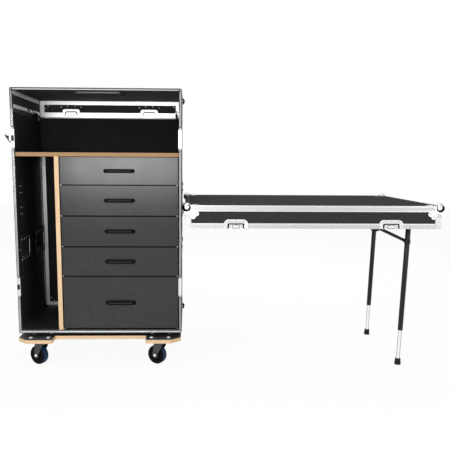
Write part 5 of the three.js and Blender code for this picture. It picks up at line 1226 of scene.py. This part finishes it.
class ROADCASE_OT_table_fittings(bpy.types.Operator):
    """Keeper dishes on the table's long sides: arched plates with black sheets painted as the shade in their
    pocket and round the hook, a hook and rivets
    """

    bl_idname = "roadcase.table_fittings"
    bl_label = "Table fittings"

    def execute(self, context):
        plates, dark, hooks, heads = [], [], [], []
        outer, inner = arch(59.5, 44, 23), arch(43, 27, 9)
        rings = [(outer, 0.4), (outer, 1.6), (shrunk(outer, 0.8), 2.4)]
        rings += [(shrunk(inner, -1.2), 2.4), (inner, 1.6)]
        large, small = rounded(37, 17, 3, 5, (0, 10)), rounded(33, 13, 3, 5, (0, 10))
        # painted shade: black sheets where the keeper's pocket and the gap round its hook fall into shade
        pocket_shades = [plate(arch(41.5, 25.5, 8), 1.2, 2.0, 0.3), plate(large, 3.0, 3.5, 0.2)]
        catches = [plate(arch(33.5, 20, 5), 1.6, 3.2, 0.8), plate(small, 3.2, 5.5, 1.0)]
        for y, face in TABLE_SIDES:
            axes = FACES[face]
            out = np.asarray(axes[2], float)
            for x in KEEPER_XS:
                seat = (x, y, TABLE_LOW)
                plates.append(placed(stacked(rings), seat, axes))
                dark += [placed(shape, seat, axes) for shape in pocket_shades]
                hooks += [placed(shape, seat, axes) for shape in catches]
                for a, b in ((-34, 37), (0, 37), (34, 37), (-50, 12), (50, 12)):
                    heads.append(repeated(rivet(3.2, 1.2), [np.add(seat, (a, 0, b)) + 2.3 * out], face))
                for a in (-26, 26):
                    heads.append(repeated(rivet(3.4, 1.4), [np.add(seat, (a, 0, 11)) + 3.1 * out], face))
        make("keeper_plates", plates, "Bright zinc", "table")
        make("keeper_pocket_shades", dark, "Black plastic", "table")
        make("keeper_hooks", hooks, "Zinc plate", "table")
        make("keeper_rivets", heads, "Rivet steel", "table")
        return {"FINISHED"}


def leg_point(y, z):
    """A point on a leg's axis, which leans by LEG_LEAN over the pivot's height."""
    return (LEG_X - LEG_LEAN * (LEG_Z - z) / LEG_Z, y, z)


class ROADCASE_OT_legs(bpy.types.Operator):
    """Folding legs: black upper tubes on a pivot tube, chromed lower tubes, rubber feet and braces"""

    bl_idname = "roadcase.legs"
    bl_label = "Folding legs"

    def execute(self, context):
        frame_parts = [bar((LEG_X, LEG_YS[0], LEG_Z), (LEG_X, LEG_YS[1], LEG_Z), 11.1, 1.0, 32)]
        ends = (LEG_YS[0] + BRACE_OFFSET - 8, LEG_YS[1] - BRACE_OFFSET + 8)
        brace_parts = [bar((BRACE_X, ends[0], LEG_Z), (BRACE_X, ends[1], LEG_Z), 7.1, 1.0, 28)]
        collar = turned([(12.5, 0), (15, 0.6), (15.6, 1.6), (15.6, 22.4), (15, 23.4), (12.5, 24)], 36)
        rubber = turned(
            [(10, 0), (13.6, 0.4), (14.4, 2), (14.8, 14), (16.6, 26), (17, 30), (16.4, 32.6), (14, 33)], 36
        )
        ring = turned([(4.3, -7.7), (10.4, -7.7), (11.1, -6.8), (11.1, 6.8), (10.4, 7.7), (4.3, 7.7)], 32, True)
        for number, (y, inward) in enumerate(zip(LEG_YS, (1, -1)), start=1):
            start, end = leg_point(y, LEG_Z + 13), leg_point(y, LEG_UPPER_END)
            length = float(np.linalg.norm(np.subtract(end, start)))
            tube = [(10.5, 0), (12.2, 0.6), (13.1, 2), (13.1, length - 1.5), (12.4, length), (9.5, length)]
            frame_parts.append(along(turned([*tube, (9.5, length - 40)], 36), start, end))
            frame_parts.append(along(collar, leg_point(y, CLAMP_Z + 12), leg_point(y, CLAMP_Z - 12)))
            clamp = leg_point(y, CLAMP_Z)
            for near, far, *size in ((10, 36, 4.1, 0.8), (-14, -18.5, 6.4, 1.6)):
                ends = (np.add(clamp, (0, inward * near, 0)), np.add(clamp, (0, inward * far, 0)))
                frame_parts.append(bar(*ends, *size))
            foot, lower = f"leg_{number}_foot", leg_point(y, LEG_UPPER_END + 185)
            steel = bar(lower, leg_point(y, 14), 9.1, 0.8, 32)
            make(f"leg_{number}_tube", [steel], "Chrome tube", foot, [f"leg_{number}_lower"])
            sole = along(rubber, leg_point(y, 33), leg_point(y, 0))
            make(f"leg_{number}_rubber", [sole], "Rubber", foot)
            if inward < 0:
                bracket = plate(np.array([(-35, 6), (-13, -9), (21, -9), (34, 5)], float), 0, 1.8, 0.4)
                brace_parts.append(placed(bracket, (clamp[0], BRACKET_Y, CLAMP_Z), FACES["rear"]))
            brace_y = y + inward * BRACE_OFFSET
            low = (clamp[0], brace_y, CLAMP_Z)
            brace_parts.append(bar(low, (BRACE_X, brace_y, LEG_Z), 8.1, 1.0, 28))
            brace_parts.append(placed(ring, low, FACES["rear"]))
        make("leg_frame_tubes", frame_parts, "Black steel", "legs", ["leg_frame"])
        make("brace_tubes", brace_parts, "Black steel", "braces", ["brace_frame"])
        return {"FINISHED"}


def seen_rays(tree):
    """1 for camera, glossy and transmission rays."""
    path = node(tree, "ShaderNodeLightPath").outputs
    direct = calc(tree, "MAXIMUM", path["Is Camera Ray"], path["Is Glossy Ray"])
    return calc(tree, "MAXIMUM", direct, path["Is Transmission Ray"])


def end_mixed(tree, kind, factor, first, second):
    """A mix of two shaders as the tree's output."""
    mix = node(tree, "ShaderNodeMixShader", {0: factor, 1: first.outputs[0], 2: second.outputs[0]})
    node(tree, kind, {"Surface": mix.outputs[0]})


def columns_matrix(*columns):
    """Matrix of an object from its three axes and its place."""
    return Matrix([*np.column_stack(columns).tolist(), [0, 0, 0, 1]])


def facing(place, target):
    """Matrix of a lamp at a place whose -z axis points at the target."""
    direction = np.subtract(target, place)
    back = -np.asarray(direction, float) / np.linalg.norm(direction)
    side = np.cross((0, 0, 1), back)
    side /= np.linalg.norm(side)
    return columns_matrix(side, np.cross(back, side), back, place)


class ROADCASE_OT_stage(bpy.types.Operator):
    """A pale floor, soft lamps, a white surrounding and the camera at the photograph's place"""

    bl_idname = "roadcase.stage"
    bl_label = "Stage"

    def execute(self, context):
        scene = context.scene
        scene.view_settings.view_transform = "Standard"
        scene.world = bpy.data.worlds.new("Surroundings")
        tree = cleared_tree(scene.world)
        soft, bright = (
            node(tree, "ShaderNodeBackground", {"Color": WHITE, "Strength": strength})
            for strength in (WORLD_STRENGTH, 1.0)
        )
        end_mixed(tree, "ShaderNodeOutputWorld", seen_rays(tree), soft, bright)
        self.floor(scene)
        for name, place, target, size, power in (
            ("Key", (-2.6, -3.4, 3.4), (0, 0, 0.8), (2.2, 2.2), 80),
            ("Fill", (3.0, -3.0, 2.0), (0.2, 0, 0.7), (2.4, 2.4), 40),
            ("Rear", (0.5, 3.2, 2.8), (0, 0, 0.8), (2.4, 2.4), 60),
            ("Top", (0.0, -0.2, 4.2), (0, 0, 0.5), (3.0, 3.0), 60),
            ("Front", (-0.85, -3.4, 1.17), (-0.85, 0, 1.17), (1.3, 0.7), 26),
        ):
            light = bpy.data.lights.new(name, "AREA")
            light.shape = "RECTANGLE"
            light.size, light.size_y = size
            light.energy = power
            lamp = bpy.data.objects.new(name, light)
            lamp.visible_camera = False
            lamp.matrix_world = facing(place, target)
            scene.collection.objects.link(lamp)
        self.camera(scene)
        return {"FINISHED"}

    def floor(self, scene):
        """A round floor that glows for the rays that see it, so it stays white and keeps a soft shadow."""
        points, quads, triangles = welded(*turned([(FLOOR_RADIUS, -4), (FLOOR_RADIUS, 0)], 48))
        mesh = bpy.data.meshes.new("Floor")
        mesh.from_pydata((points * MILLIMETRE).tolist(), [], quads.tolist() + triangles.tolist())
        material = bpy.data.materials.new("Floor")
        tree = cleared_tree(material)
        diffuse = node(tree, "ShaderNodeBsdfDiffuse", {"Color": (0.9, 0.9, 0.9, 1)})
        glow = node(tree, "ShaderNodeEmission", {"Color": WHITE})
        part = calc(tree, "MULTIPLY", seen_rays(tree), FLOOR_GLOW)
        end_mixed(tree, "ShaderNodeOutputMaterial", part, diffuse, glow)
        mesh.materials.append(material)
        floor = bpy.data.objects.new("Floor", mesh)
        scene.collection.objects.link(floor)
        floor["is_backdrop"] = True

    def camera(self, scene):
        """The camera at the place and angles that were fitted to the photograph."""
        data = bpy.data.cameras.new("Camera")
        data.sensor_width, data.lens = CAMERA_SENSOR, CAMERA_LENS
        data.shift_x, data.shift_y = CAMERA_SHIFT
        camera = bpy.data.objects.new("Camera", data)
        scene.collection.objects.link(camera)
        yaw, pitch, roll = CAMERA_ANGLES
        ahead = np.array([math.sin(yaw) * math.cos(pitch), math.cos(yaw) * math.cos(pitch), -math.sin(pitch)])
        right = np.array([math.cos(yaw), -math.sin(yaw), 0.0])
        up = np.cross(right, ahead)
        across = math.cos(roll) * right + math.sin(roll) * up
        upward = -math.sin(roll) * right + math.cos(roll) * up
        camera.matrix_world = columns_matrix(across, upward, -ahead, CAMERA_PLACE)
        scene.camera = camera


STEPS = (
    ROADCASE_OT_finishes,
    ROADCASE_OT_rivets,
    ROADCASE_OT_edges,
    ROADCASE_OT_inside,
    ROADCASE_OT_corners,
    ROADCASE_OT_drawers,
    ROADCASE_OT_casters,
    ROADCASE_OT_latches,
    ROADCASE_OT_grips,
    ROADCASE_OT_lid_fittings,
    ROADCASE_OT_table_fittings,
    ROADCASE_OT_legs,
    ROADCASE_OT_stage,
)


class ROADCASE_PT_panel(bpy.types.Panel):
    """Lists the steps with the sizes and colours that they use"""

    bl_idname = "ROADCASE_PT_panel"
    bl_label = "Road case"
    bl_space_type = "VIEW_3D"
    bl_region_type = "UI"
    bl_category = "Road case"

    def draw(self, context):
        for group in (context.scene.road_case_sizes, context.scene.road_case_colours):
            for name in type(group).__annotations__:
                self.layout.prop(group, name)
        for step in STEPS:
            self.layout.operator(step.bl_idname)


CLASSES = (RoadCaseColours, RoadCaseSizes, *STEPS, ROADCASE_PT_panel)


def register():
    for cls in CLASSES:
        bpy.utils.register_class(cls)
    bpy.types.Scene.road_case_colours = bpy.props.PointerProperty(type=RoadCaseColours)
    bpy.types.Scene.road_case_sizes = bpy.props.PointerProperty(type=RoadCaseSizes)


def unregister():
    del bpy.types.Scene.road_case_sizes
    del bpy.types.Scene.road_case_colours
    for cls in reversed(CLASSES):
        bpy.utils.unregister_class(cls)


def main():
    """Runs every step in order."""
    register()
    for step in STEPS:
        area, name = step.bl_idname.split(".")
        getattr(getattr(bpy.ops, area), name)()
    boxes = {"cad": CAD_BOX, "visual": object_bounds()}
    {key: [list(corner) for corner in box] for key, box in boxes.items()}


if __name__ == "__main__":
    main()
